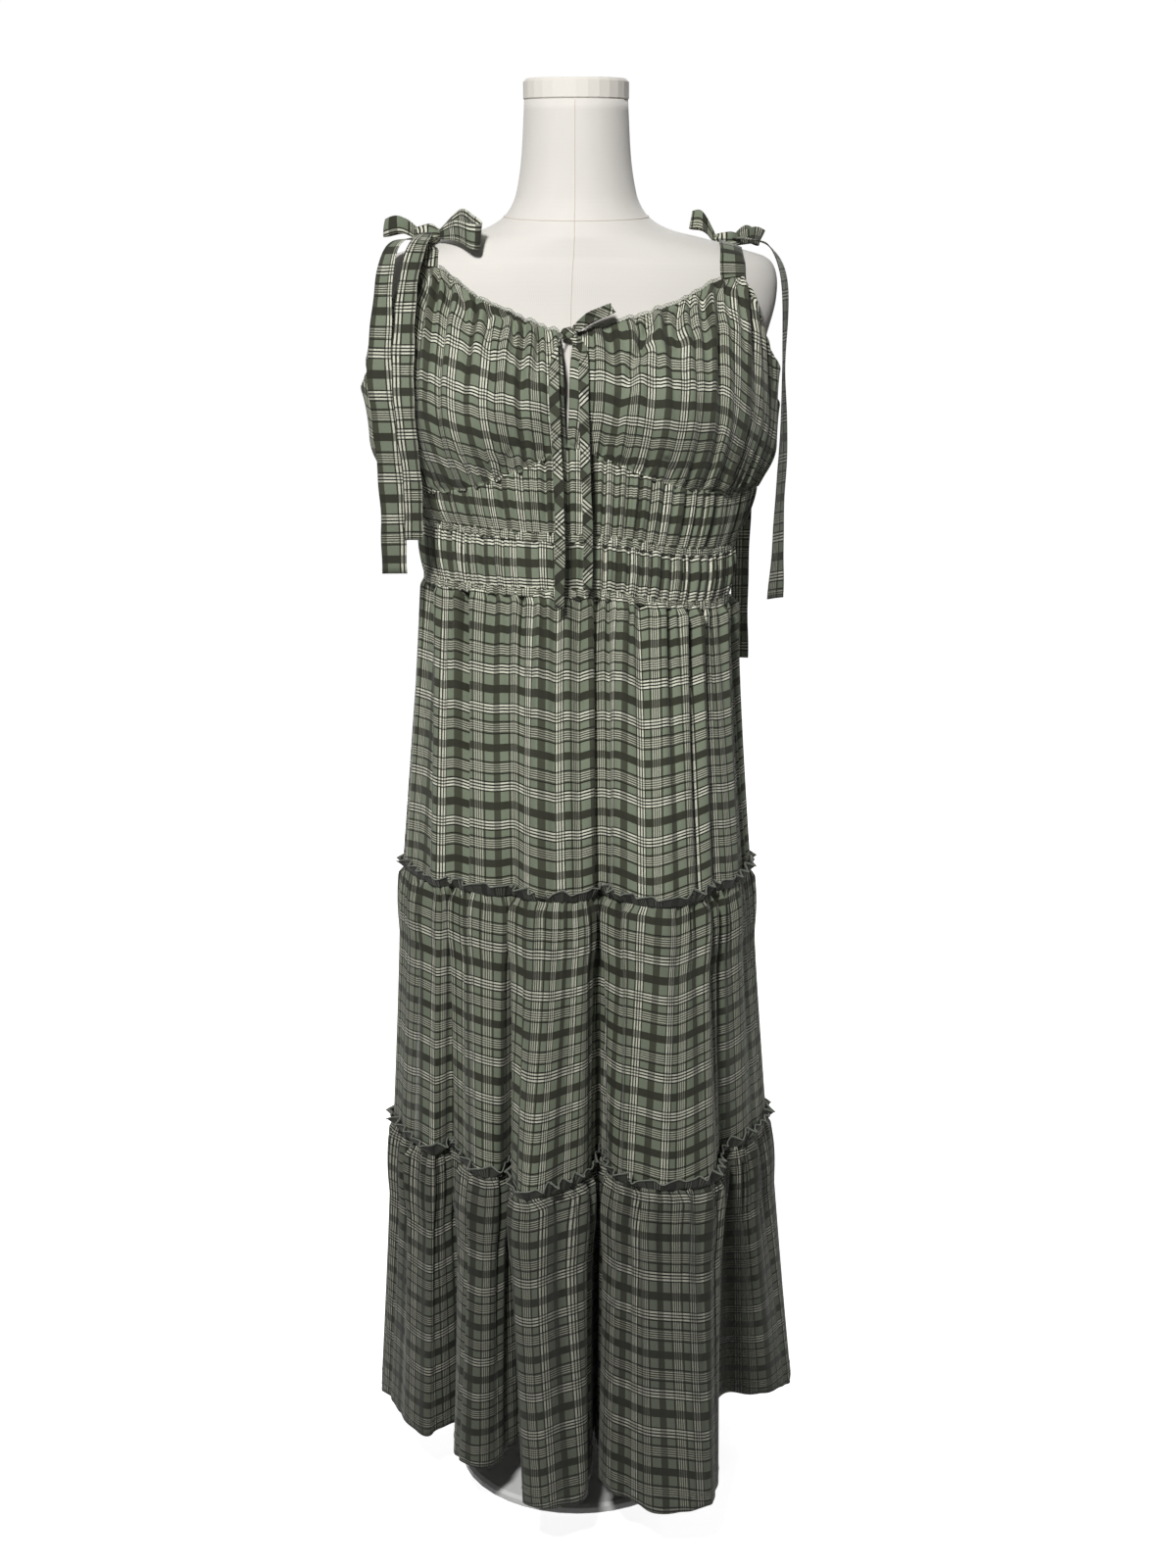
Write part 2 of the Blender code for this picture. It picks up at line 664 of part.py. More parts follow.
back_grid = bodice_grid(back_columns(), 2, BODICE_STEPS, under_ring("back", 0), (3, 8))
back_grid = [row[2:-2] for row in back_grid]
back_grid = shifted_ends(back_grid, SIDE_GAP, SIDE_GAP)
for row in back_grid:
    for i, point in enumerate(row):
        row[i] = point + np.array((0, 0, SEAM / 2))
sheet("bodice_back", back_grid, CLOTH_COLOUR)


def elastic_point(ring, x, y):
    """The point of an elasticated ring on the same bearing as x and y."""
    _, half, front, back, left_z, middle_z, right_z = ring
    deep = front if y < 0 else back
    scale = 1 / math.hypot(x / half, y / deep)
    x, y = x * scale, y * scale
    side_z = left_z if x < 0 else right_z
    return np.array((x, y, middle_z + (side_z - middle_z) * smooth(abs(x) / 0.15)))


def band_grid(upper, lower, steps, narrow):
    """Rows between two rings, drawn in a little between the elastics."""
    grid = []
    for t in steps:
        row = []
        for a, b in zip(upper, lower):
            point = a + (b - a) * t
            point[:2] *= 1 + narrow * math.sin(math.pi * t)
            row.append(point)
        grid.append(row)
    return grid


for half in ("front", "back"):
    under = under_ring(half, 2)
    upper = np.array([elastic_point(ELASTIC_RINGS[0], x, y) for x, y, _ in under])
    waist = np.array([elastic_point(ELASTIC_RINGS[1], x, y) for x, y, _ in under])
    waist[:, 2] = [waist_z(x) for x in waist[:, 0]]
    gap = np.array((0, 0, SEAM / 2))
    steps = (0, 0.5, 1)
    low_gap = np.array((0, 0, 0.0009))
    grid = band_grid(under - low_gap, upper + gap, steps, 0.012)
    grid = shifted_ends(grid, SIDE_GAP, SIDE_GAP)
    sheet(f"midriff_upper_{half}", grid, CLOTH_COLOUR)
    grid = band_grid(upper - gap, waist + gap, steps, 0.015)
    grid = shifted_ends(grid, SIDE_GAP, SIDE_GAP)
    sheet(f"midriff_lower_{half}", grid, CLOTH_COLOUR)


# The shoulder ties, their bows and the keyhole bow.
KNOTS = {
    # Columns: centre x, y, then radii, and the clear height over the form under it.
    "left": (-0.1500, -0.0240, 0.0120, 0.0100, 0.0088, 0.0033),
    "right": (0.1560, 0.0440, 0.0120, 0.0100, 0.0088, 0.0042),
}
KEYHOLE_KNOT = (-0.0070, -0.1042, 1.2980, 0.0075, 0.0050, 0.0055)


def form_top(x, y):
    """Height of the form's upper surface over x and y."""
    for step in range(2000):
        z = 1.51 - step * 0.0001
        half, front, back, square = form_row(z)
        deep = front if y < 0 else back
        if (abs(x) / half) ** square + (abs(y) / deep) ** square < 1:
            return z
    return 1.31


def knot_centre(side):
    """The middle of a shoulder knot, over the form."""
    x, y, _, _, high, clear = KNOTS[side]
    return np.array((x, y, form_top(x, y) + high + clear))


def knot(name, centre, radii):
    """A small rounded knot, a sphere drawn out to its radii."""
    bpy.ops.mesh.primitive_uv_sphere_add(segments=10, ring_count=8, radius=1, location=centre)
    obj = finished(bpy.context.object, name, CLOTH_COLOUR, 0.9)
    obj.scale = radii
    return obj


def off_knot(centre, radii, row):
    """The point just outside a knot from which a tie of the row's width leaves toward the row."""
    step = np.array(row[:3], float) - centre
    wide = np.array(row[3:], float)
    wide /= np.linalg.norm(wide)
    step -= wide * (step @ wide)
    step /= np.linalg.norm(step)
    reach = 1 / math.sqrt(sum((s / r) ** 2 for s, r in zip(step, radii)))
    return centre + step * (reach + KNOT_CLEAR)


def tie(name, centre, radii, path, loop):
    """A ribbon whose first point, and for a loop also its last, sits against a knot."""
    rows = [list(row) for row in path]
    rows[0][:3] = off_knot(centre, radii, rows[0])
    if loop:
        rows[-1][:3] = off_knot(centre, radii, rows[-1])
    ribbon(name, finer(rows, 2))


for side in ("left", "right"):
    knot(f"shoulder_knot_{side}", knot_centre(side), KNOTS[side][2:5])


def over_shoulder(x, y):
    """Height of the middle of a tie that lies on the form over x and y."""
    slope = (form_top(x, y + 0.002) - form_top(x, y - 0.002)) / 0.004
    slope = min(abs(slope), 3.0)
    return form_top(x, y) + (SEAM + TIE_WALL / 2 + STRAP_CLEAR) * math.sqrt(1 + slope**2)


def strap(side, half):
    """A tie from the bodice edge over the shoulder and under the knot, lying on the form."""
    centre = knot_centre(side)
    names = ("strap_inner", "strap_outer") if half == "front" else ("strap_back_inner", "strap_back_outer")
    a, b = (np.array(top_point(name, side)) for name in names)
    if side == "left":
        a, b = b, a
    wide = (b - a) * 0.46
    outward = -1 if half == "front" else 1
    foot = (a + b) / 2 + np.array((0, -outward * (WALL - TIE_WALL) / 2, 0))
    start = foot + np.array((0, -outward * TIE_WALL / 2, 0.0009))
    rows = [(*start, *wide)]
    end_y = centre[1] + outward * 0.003
    steps = round((abs(end_y - start[1]) + centre[2] - start[2]) / STRAP_STEP)
    for k in range(1, steps + 1):
        t = (k / steps) ** 1.5
        x = start[0] + (centre[0] - start[0]) * t
        y = start[1] + (end_y - start[1]) * t
        narrow = 1 - 0.5 * smooth((t - 0.4) / 0.6)
        across = wide[0] * narrow
        along = wide[1] * (1 - smooth(t / 0.5))
        tops = [over_shoulder(x + s * across, y + s * along) for s in (-1, 0, 1)]
        tops = [max(top, max(tops) - 0.006) for top in tops]
        tilt = (tops[2] - tops[0]) / 2 * smooth(t / 0.2)
        z = max(tops[1], (tops[0] + tops[2]) / 2, start[2] + 0.0015 * min(k, 4))
        rows.append((x, y, z, across, along, tilt))
    ribbon(f"shoulder_tie_{side}_{half}", rows)


for side in ("left", "right"):
    for half in ("front", "back"):
        strap(side, half)

BOWS = {
    # Each row: x, y, z of the tie and its half width as x, y, z.
    "left_loop_inner": (
        (-0.134, -0.030, 1.394, 0.000, 0.000, 0.0045),
        (-0.120, -0.058, 1.396, 0.000, 0.002, 0.010),
        (-0.104, -0.077, 1.391, 0.000, 0.002, 0.012),
        (-0.094, -0.075, 1.391, 0.002, 0.001, 0.012),
        (-0.100, -0.064, 1.399, 0.001, -0.002, 0.011),
        (-0.114, -0.043, 1.407, 0.000, -0.002, 0.010),
        (-0.134, -0.018, 1.400, 0.000, 0.000, 0.0045),
    ),
    "left_loop_outer": (
        (-0.163, -0.020, 1.400, 0.000, 0.000, 0.005),
        (-0.178, -0.024, 1.402, 0.000, 0.000, 0.008),
        (-0.190, -0.016, 1.398, 0.001, 0.001, 0.009),
        (-0.188, -0.004, 1.397, 0.001, -0.001, 0.009),
        (-0.176, -0.003, 1.400, 0.000, 0.000, 0.008),
        (-0.164, -0.011, 1.400, 0.000, 0.000, 0.005),
    ),
    "left_end_outer": (
        (-0.167, -0.035, 1.385, 0.002, -0.005, 0.001),
        (-0.180, -0.056, 1.384, 0.007, -0.007, 0.000),
        (-0.190, -0.069, 1.360, 0.009, -0.006, 0.000),
        (-0.194, -0.081, 1.320, 0.011, -0.004, 0.000),
        (-0.197, -0.089, 1.260, 0.012, -0.003, 0.000),
        (-0.192, -0.091, 1.205, 0.012, -0.001, 0.000),
        (-0.187, -0.088, 1.130, 0.013, 0.001, 0.000),
        (-0.186, -0.086, 1.055, 0.013, 0.001, 0.000),
    ),
    "left_end_inner": (
        (-0.146, -0.050, 1.395, 0.005, 0.000, 0.001),
        (-0.158, -0.072, 1.382, 0.009, 0.001, 0.000),
        (-0.166, -0.089, 1.350, 0.010, 0.002, 0.000),
        (-0.171, -0.099, 1.300, 0.0105, 0.000, 0.000),
        (-0.172, -0.110, 1.250, 0.0105, 0.000, 0.000),
        (-0.169, -0.114, 1.200, 0.010, 0.002, 0.000),
        (-0.164, -0.113, 1.150, 0.009, 0.000, 0.000),
        (-0.164, -0.111, 1.093, 0.009, 0.000, 0.000),
    ),
    "right_loop_inner": (
        (0.144, 0.040, 1.400, 0.000, 0.000, 0.0040),
        (0.131, 0.034, 1.405, 0.000, 0.001, 0.009),
        (0.120, 0.040, 1.406, 0.001, 0.000, 0.009),
        (0.122, 0.052, 1.405, 0.001, 0.000, 0.009),
        (0.133, 0.056, 1.403, 0.000, 0.000, 0.009),
        (0.144, 0.050, 1.399, 0.000, 0.000, 0.0040),
    ),
    "right_loop_outer": (
        (0.166, 0.055, 1.394, 0.000, 0.000, 0.0045),
        (0.178, 0.072, 1.391, 0.001, 0.000, 0.009),
        (0.190, 0.080, 1.387, 0.001, 0.001, 0.009),
        (0.196, 0.072, 1.387, 0.001, 0.000, 0.009),
        (0.186, 0.060, 1.390, 0.000, 0.000, 0.009),
        (0.168, 0.048, 1.394, 0.000, 0.000, 0.0045),
    ),
    "right_end_side": (
        (0.168, 0.034, 1.390, 0.002, 0.005, 0.001),
        (0.184, 0.022, 1.387, 0.001, 0.010, 0.000),
        (0.200, 0.010, 1.380, 0.002, 0.011, -0.002),
        (0.2115, 0.000, 1.355, 0.003, 0.011, 0.000),
        (0.2150, -0.006, 1.310, 0.004, 0.011, 0.000),
        (0.2155, -0.010, 1.240, 0.003, 0.011, 0.000),
        (0.2155, -0.010, 1.170, 0.004, 0.011, 0.000),
        (0.2130, -0.009, 1.100, 0.006, 0.009, 0.000),
        (0.2110, -0.008, 1.016, 0.0085, 0.006, 0.000),
    ),
    "right_end_rear": (
        (0.151, 0.060, 1.388, 0.005, -0.001, 0.000),
        (0.158, 0.084, 1.374, 0.008, -0.001, 0.000),
        (0.168, 0.103, 1.340, 0.010, -0.002, 0.000),
        (0.179, 0.113, 1.290, 0.010, -0.001, 0.000),
        (0.181, 0.116, 1.210, 0.010, 0.000, 0.000),
        (0.182, 0.114, 1.110, 0.010, 0.001, 0.000),
        (0.181, 0.112, 1.020, 0.010, 0.001, 0.000),
        (0.181, 0.111, 0.928, 0.010, 0.000, 0.000),
    ),
}
for name, path in BOWS.items():
    side = name.split("_")[0]
    tie(f"bow_{name}", knot_centre(side), KNOTS[side][2:5], path, "loop" in name)

KEYHOLE_TIES = {
    "loop": (
        (0.001, -0.1100, 1.3050, -0.0015, 0.0000, 0.0025),
        (0.014, -0.1140, 1.3140, -0.0025, 0.0000, 0.0042),
        (0.030, -0.1140, 1.3200, -0.0025, 0.0000, 0.0045),
        (0.037, -0.1100, 1.3235, -0.0025, 0.0000, 0.0045),
        (0.031, -0.1070, 1.3210, -0.0025, 0.0000, 0.0045),
        (0.016, -0.1060, 1.3140, -0.0025, 0.0000, 0.0045),
        (0.000, -0.1060, 1.3070, -0.0015, 0.0000, 0.0022),
    ),
    "end_left": (
        (-0.018, -0.1100, 1.2970, 0.0004, 0.0005, 0.0028),
        (-0.020, -0.1220, 1.2870, 0.0025, 0.0010, 0.0025),
        (-0.021, -0.1340, 1.2680, 0.0045, 0.0008, 0.0010),
        (-0.021, -0.1440, 1.2350, 0.0048, 0.0000, 0.0000),
        (-0.018, -0.1450, 1.1700, 0.0048, 0.0005, 0.0000),
        (-0.016, -0.1420, 1.1000, 0.0048, 0.0000, 0.0000),
        (-0.017, -0.1380, 1.0280, 0.0048, 0.0000, 0.0000),
    ),
    "end_right": (
        (0.0040, -0.1120, 1.2920, 0.0015, 0.0000, 0.0024),
        (0.0070, -0.1220, 1.2830, 0.0030, 0.0008, 0.0020),
        (0.0075, -0.1340, 1.2680, 0.0045, 0.0008, 0.0008),
        (0.0080, -0.1430, 1.2350, 0.0048, 0.0000, 0.0000),
        (0.0100, -0.1450, 1.1600, 0.0046, -0.0010, 0.0000),
        (0.0125, -0.1400, 1.0950, 0.0046, 0.0010, 0.0000),
        (0.0115, -0.1380, 1.0480, 0.0048, 0.0000, 0.0000),
    ),
}
keyhole_centre = np.array(KEYHOLE_KNOT[:3])
knot("keyhole_knot", keyhole_centre, KEYHOLE_KNOT[3:])
for name, path in KEYHOLE_TIES.items():
    tie(f"keyhole_tie_{name}", keyhole_centre, KEYHOLE_KNOT[3:], path, name == "loop")
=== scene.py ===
"""The looks of the tiered maxi dress on its dress form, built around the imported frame.

Metres, +Z up, the front of the dress faces -Y. Every cloth surface repeats the shape of its
solid from the same tables, with gathers, puckers and stitching added at their real size.
"""

import math

import bmesh
import bpy
import numpy as np
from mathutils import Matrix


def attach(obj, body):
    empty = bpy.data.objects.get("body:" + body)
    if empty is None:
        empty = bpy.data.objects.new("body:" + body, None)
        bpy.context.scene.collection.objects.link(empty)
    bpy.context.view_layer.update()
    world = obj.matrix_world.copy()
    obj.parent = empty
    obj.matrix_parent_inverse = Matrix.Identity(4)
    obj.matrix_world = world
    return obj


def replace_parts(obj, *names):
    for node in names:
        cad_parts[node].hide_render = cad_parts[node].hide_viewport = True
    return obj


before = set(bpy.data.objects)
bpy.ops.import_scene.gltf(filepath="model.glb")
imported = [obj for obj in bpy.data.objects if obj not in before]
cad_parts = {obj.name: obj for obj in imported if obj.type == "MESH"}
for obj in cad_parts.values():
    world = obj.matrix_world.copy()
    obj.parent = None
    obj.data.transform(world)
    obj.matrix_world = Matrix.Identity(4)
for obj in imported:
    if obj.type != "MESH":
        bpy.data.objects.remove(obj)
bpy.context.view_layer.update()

# The range of a random phase, about one turn.
TURN = 6.28
# Named sizes, in metres.
CLOTH = 0.0007
WALL = 0.0014
SEAM = 0.0003
CENTRE_FRONT = -0.009
WAIST_Z = 1.038
SEAM_1_Z = 0.713
SEAM_2_Z = 0.409
HEM_Z = 0.070
FRILL_HEIGHT = 0.012
FRILL_OUT = 0.0052
FRILL_WAVE = 0.0042
FRILL_DIP = 0.0023
FRILL_SWAY = 0.0013
FRILL_PITCH = 0.0205
TIE_WALL = 0.0012
FORM_TOP_Z = 1.5235
KEYHOLE_KNOT = (-0.0070, -0.1042, 1.2980, 0.0075, 0.0050, 0.0055)
SIDE_RIGHT_ROW = 17
STRAP_STEP = 0.0075
STRAP_CLEAR = 0.0007

FORM_SECTIONS = (
    (0.750, 0.140, 0.070, 0.088, 2.2),
    (0.756, 0.147, 0.077, 0.096, 2.2),
    (0.800, 0.151, 0.083, 0.102, 2.2),
    (0.850, 0.152, 0.089, 0.103, 2.2),
    (0.910, 0.142, 0.092, 0.098, 2.2),
    (0.970, 0.129, 0.090, 0.090, 2.2),
    (1.030, 0.122, 0.088, 0.086, 2.2),
    (1.080, 0.127, 0.094, 0.088, 2.2),
    (1.135, 0.141, 0.110, 0.093, 2.2),
    (1.180, 0.149, 0.121, 0.097, 2.3),
    (1.215, 0.153, 0.119, 0.099, 2.4),
    (1.240, 0.160, 0.111, 0.100, 2.4),
    (1.252, 0.186, 0.106, 0.100, 2.3),
    (1.292, 0.197, 0.094, 0.098, 2.2),
    (1.322, 0.205, 0.088, 0.096, 2.1),
    (1.346, 0.2065, 0.085, 0.093, 2.0),
    (1.362, 0.202, 0.082, 0.090, 1.9),
    (1.370, 0.193, 0.080, 0.088, 1.8),
    (1.377, 0.170, 0.079, 0.086, 1.8),
    (1.384, 0.146, 0.078, 0.083, 1.8),
    (1.390, 0.122, 0.077, 0.080, 1.8),
    (1.396, 0.098, 0.074, 0.076, 1.9),
    (1.404, 0.081, 0.068, 0.070, 2.0),
    (1.414, 0.070, 0.062, 0.064, 2.0),
    (1.430, 0.062, 0.057, 0.058, 2.0),
    (1.465, 0.056, 0.054, 0.054, 2.0),
    (1.5235, 0.0525, 0.0525, 0.0525, 2.0),
)

SKIRT_FOLDS = (
    ("side_left", -0.160, 0.004, -0.188, 0.010, -0.206, 0.010, -0.229, 0.016),
    ("lobe1_front", -0.139, -0.057, -0.152, -0.058, -0.160, -0.074, -0.172, -0.084),
    ("valley1", -0.125, -0.071, -0.131, -0.062, -0.138, -0.052, -0.130, -0.052),
    ("lobe2_left", -0.112, -0.081, -0.119, -0.074, -0.116, -0.112, -0.137, -0.126),
    ("lobe2_ridge", -0.096, -0.092, -0.100, -0.089, -0.101, -0.133, -0.117, -0.155),
    ("lobe2_right", -0.080, -0.099, -0.080, -0.095, -0.084, -0.130, -0.089, -0.140),
    ("valley2", -0.066, -0.104, -0.067, -0.091, -0.069, -0.094, -0.064, -0.092),
    ("lobe3_left", -0.050, -0.109, -0.056, -0.105, -0.064, -0.180, -0.055, -0.220),
    ("lobe3_ridge", -0.028, -0.113, -0.030, -0.115, -0.046, -0.190, -0.032, -0.238),
    ("lobe3_right", 0.005, -0.115, 0.007, -0.112, 0.006, -0.142, 0.010, -0.203),
    ("valley3", 0.024, -0.114, 0.024, -0.088, 0.024, -0.072, 0.019, -0.056),
    ("lobe4_left", 0.040, -0.112, 0.041, -0.106, 0.041, -0.134, 0.031, -0.190),
    ("lobe4_mid", 0.062, -0.107, 0.066, -0.127, 0.064, -0.157, 0.064, -0.226),
    ("lobe4_ridge", 0.088, -0.097, 0.096, -0.134, 0.096, -0.167, 0.108, -0.241),
    ("lobe4_right", 0.112, -0.083, 0.128, -0.112, 0.144, -0.148, 0.148, -0.222),
    ("valley4", 0.126, -0.071, 0.142, -0.083, 0.156, -0.072, 0.162, -0.012),
    ("lobe5_front", 0.143, -0.053, 0.165, -0.060, 0.184, -0.042, 0.224, 0.012),
    ("side_right", 0.160, 0.000, 0.187, 0.006, 0.211, 0.018, 0.252, 0.042),
    ("lobe5_back", 0.155, 0.028, 0.181, 0.042, 0.208, 0.056, 0.240, 0.080),
    ("valley5", 0.141, 0.049, 0.161, 0.065, 0.168, 0.080, 0.180, 0.100),
    ("lobe6_right", 0.126, 0.065, 0.146, 0.082, 0.176, 0.110, 0.208, 0.140),
    ("lobe6_left", 0.104, 0.080, 0.122, 0.102, 0.146, 0.142, 0.176, 0.190),
    ("valley6", 0.084, 0.089, 0.098, 0.101, 0.110, 0.118, 0.118, 0.140),
    ("lobe7_right", 0.064, 0.097, 0.076, 0.122, 0.096, 0.172, 0.112, 0.220),
    ("lobe7_left", 0.044, 0.102, 0.050, 0.129, 0.056, 0.186, 0.064, 0.240),
    ("valley7", 0.022, 0.105, 0.026, 0.114, 0.029, 0.130, 0.032, 0.152),
    ("lobe8_right", 0.002, 0.106, 0.005, 0.131, 0.008, 0.186, 0.010, 0.236),
    ("lobe8_left", -0.024, 0.105, -0.026, 0.132, -0.034, 0.188, -0.042, 0.240),
    ("valley8", -0.046, 0.101, -0.053, 0.112, -0.060, 0.126, -0.070, 0.146),
    ("lobe9_right", -0.064, 0.096, -0.072, 0.124, -0.084, 0.174, -0.096, 0.224),
    ("lobe9_left", -0.086, 0.087, -0.100, 0.110, -0.124, 0.156, -0.144, 0.204),
    ("valley9", -0.105, 0.078, -0.119, 0.090, -0.134, 0.106, -0.146, 0.126),
    ("lobe10_right", -0.124, 0.065, -0.142, 0.084, -0.170, 0.120, -0.196, 0.156),
    ("lobe10_left", -0.142, 0.048, -0.166, 0.060, -0.193, 0.082, -0.222, 0.108),
    ("valley10", -0.151, 0.034, -0.176, 0.046, -0.190, 0.058, -0.204, 0.072),
    ("lobe1_back", -0.157, 0.020, -0.185, 0.030, -0.204, 0.036, -0.228, 0.046),
)

BODICE_RING = (
    ("centre_front", 0.000, -0.1285, 1.190, 0.002, -0.1300, 1.246),
    ("cup_inner", 0.036, -0.1275, 1.175, 0.040, -0.1400, 1.236),
    ("cup_middle", 0.070, -0.1210, 1.160, 0.078, -0.1430, 1.226),
    ("cup_outer", 0.101, -0.1080, 1.148, 0.114, -0.1330, 1.220),
    ("strap_inner", 0.130, -0.0890, 1.141, 0.150, -0.1070, 1.222),
    ("strap_outer", 0.155, -0.0620, 1.137, 0.180, -0.0740, 1.226),
    ("armhole", 0.178, -0.0280, 1.135, 0.203, -0.0330, 1.202),
    ("side", 0.188, 0.0120, 1.134, 0.208, 0.0180, 1.172),
    ("armhole_back", 0.174, 0.0480, 1.134, 0.194, 0.0540, 1.196),
    ("strap_back_outer", 0.145, 0.0800, 1.134, 0.163, 0.0860, 1.212),
    ("strap_back_inner", 0.112, 0.0980, 1.134, 0.130, 0.1040, 1.212),
    ("back_middle", 0.060, 0.1110, 1.134, 0.068, 0.1150, 1.206),
    ("centre_back", 0.000, 0.1150, 1.134, 0.000, 0.1180, 1.202),
)

BODICE_TOP = (
    ("centre_front", -0.0020, 1.2985, -0.0160, 1.2975, 0.0035),
    ("cup_inner", 0.0290, 1.3050, -0.0400, 1.3060, 0.0035),
    ("cup_middle", 0.0660, 1.3150, -0.0700, 1.3190, 0.0035),
    ("cup_outer", 0.1040, 1.3280, -0.1010, 1.3330, 0.0035),
    ("strap_inner", 0.1450, 1.3490, -0.1380, 1.3600, 0.0040),
    ("strap_outer", 0.1700, 1.3510, -0.1640, 1.3610, 0.0060),
)

BODICE_TOP_BACK = (
    ("armhole", 0.1980, -0.2120, -0.0380, 1.2800),
    ("side", 0.2090, -0.2160, 0.0200, 1.2140),
    ("armhole_back", 0.1980, -0.2040, 0.0560, 1.2500),
    ("strap_back_outer", 0.1720, -0.1700, 0.0620, 1.3300),
    ("strap_back_inner", 0.1440, -0.1420, 0.0760, 1.3280),
    ("back_middle", 0.0700, -0.0700, 0.0980, 1.3020),
    ("centre_back", 0.0000, 0.0000, 0.1040, 1.2960),
)

ELASTIC_RINGS = (
    ("upper_elastic", 0.164, 0.119, 0.106, 1.102, 1.096, 1.074),
    ("waist_elastic", 0.160, 0.115, 0.106, 1.041, 1.040, 1.018),
)

KNOTS = {
    # Columns: centre x, y, then radii, and the clear height over the form under it.
    "left": (-0.1500, -0.0240, 0.0120, 0.0100, 0.0088, 0.0033),
    "right": (0.1560, 0.0440, 0.0120, 0.0100, 0.0088, 0.0042),
}

BOWS = {
    # Each row: x, y, z of the tie and its half width as x, y, z.
    "left_loop_inner": (
        (-0.134, -0.030, 1.394, 0.000, 0.000, 0.0045),
        (-0.120, -0.058, 1.396, 0.000, 0.002, 0.010),
        (-0.104, -0.077, 1.391, 0.000, 0.002, 0.012),
        (-0.094, -0.075, 1.391, 0.002, 0.001, 0.012),
        (-0.100, -0.064, 1.399, 0.001, -0.002, 0.011),
        (-0.114, -0.043, 1.407, 0.000, -0.002, 0.010),
        (-0.134, -0.018, 1.400, 0.000, 0.000, 0.0045),
    ),
    "left_loop_outer": (
        (-0.163, -0.020, 1.400, 0.000, 0.000, 0.005),
        (-0.178, -0.024, 1.402, 0.000, 0.000, 0.008),
        (-0.190, -0.016, 1.398, 0.001, 0.001, 0.009),
        (-0.188, -0.004, 1.397, 0.001, -0.001, 0.009),
        (-0.176, -0.003, 1.400, 0.000, 0.000, 0.008),
        (-0.164, -0.011, 1.400, 0.000, 0.000, 0.005),
    ),
    "left_end_outer": (
        (-0.167, -0.035, 1.385, 0.002, -0.005, 0.001),
        (-0.180, -0.056, 1.384, 0.007, -0.007, 0.000),
        (-0.190, -0.069, 1.360, 0.009, -0.006, 0.000),
        (-0.194, -0.081, 1.320, 0.011, -0.004, 0.000),
        (-0.197, -0.089, 1.260, 0.012, -0.003, 0.000),
        (-0.192, -0.091, 1.205, 0.012, -0.001, 0.000),
        (-0.187, -0.088, 1.130, 0.013, 0.001, 0.000),
        (-0.186, -0.086, 1.055, 0.013, 0.001, 0.000),
    ),
    "left_end_inner": (
        (-0.146, -0.050, 1.395, 0.005, 0.000, 0.001),
        (-0.158, -0.072, 1.382, 0.009, 0.001, 0.000),
        (-0.166, -0.089, 1.350, 0.010, 0.002, 0.000),
        (-0.171, -0.099, 1.300, 0.0105, 0.000, 0.000),
        (-0.172, -0.110, 1.250, 0.0105, 0.000, 0.000),
        (-0.169, -0.114, 1.200, 0.010, 0.002, 0.000),
        (-0.164, -0.113, 1.150, 0.009, 0.000, 0.000),
        (-0.164, -0.111, 1.093, 0.009, 0.000, 0.000),
    ),
    "right_loop_inner": (
        (0.144, 0.040, 1.400, 0.000, 0.000, 0.0040),
        (0.131, 0.034, 1.405, 0.000, 0.001, 0.009),
        (0.120, 0.040, 1.406, 0.001, 0.000, 0.009),
        (0.122, 0.052, 1.405, 0.001, 0.000, 0.009),
        (0.133, 0.056, 1.403, 0.000, 0.000, 0.009),
        (0.144, 0.050, 1.399, 0.000, 0.000, 0.0040),
    ),
    "right_loop_outer": (
        (0.166, 0.055, 1.394, 0.000, 0.000, 0.0045),
        (0.178, 0.072, 1.391, 0.001, 0.000, 0.009),
        (0.190, 0.080, 1.387, 0.001, 0.001, 0.009),
        (0.196, 0.072, 1.387, 0.001, 0.000, 0.009),
        (0.186, 0.060, 1.390, 0.000, 0.000, 0.009),
        (0.168, 0.048, 1.394, 0.000, 0.000, 0.0045),
    ),
    "right_end_side": (
        (0.168, 0.034, 1.390, 0.002, 0.005, 0.001),
        (0.184, 0.022, 1.387, 0.001, 0.010, 0.000),
        (0.200, 0.010, 1.380, 0.002, 0.011, -0.002),
        (0.2115, 0.000, 1.355, 0.003, 0.011, 0.000),
        (0.2150, -0.006, 1.310, 0.004, 0.011, 0.000),
        (0.2155, -0.010, 1.240, 0.003, 0.011, 0.000),
        (0.2155, -0.010, 1.170, 0.004, 0.011, 0.000),
        (0.2130, -0.009, 1.100, 0.006, 0.009, 0.000),
        (0.2110, -0.008, 1.016, 0.0085, 0.006, 0.000),
    ),
    "right_end_rear": (
        (0.151, 0.060, 1.388, 0.005, -0.001, 0.000),
        (0.158, 0.084, 1.374, 0.008, -0.001, 0.000),
        (0.168, 0.103, 1.340, 0.010, -0.002, 0.000),
        (0.179, 0.113, 1.290, 0.010, -0.001, 0.000),
        (0.181, 0.116, 1.210, 0.010, 0.000, 0.000),
        (0.182, 0.114, 1.110, 0.010, 0.001, 0.000),
        (0.181, 0.112, 1.020, 0.010, 0.001, 0.000),
        (0.181, 0.111, 0.928, 0.010, 0.000, 0.000),
    ),
}

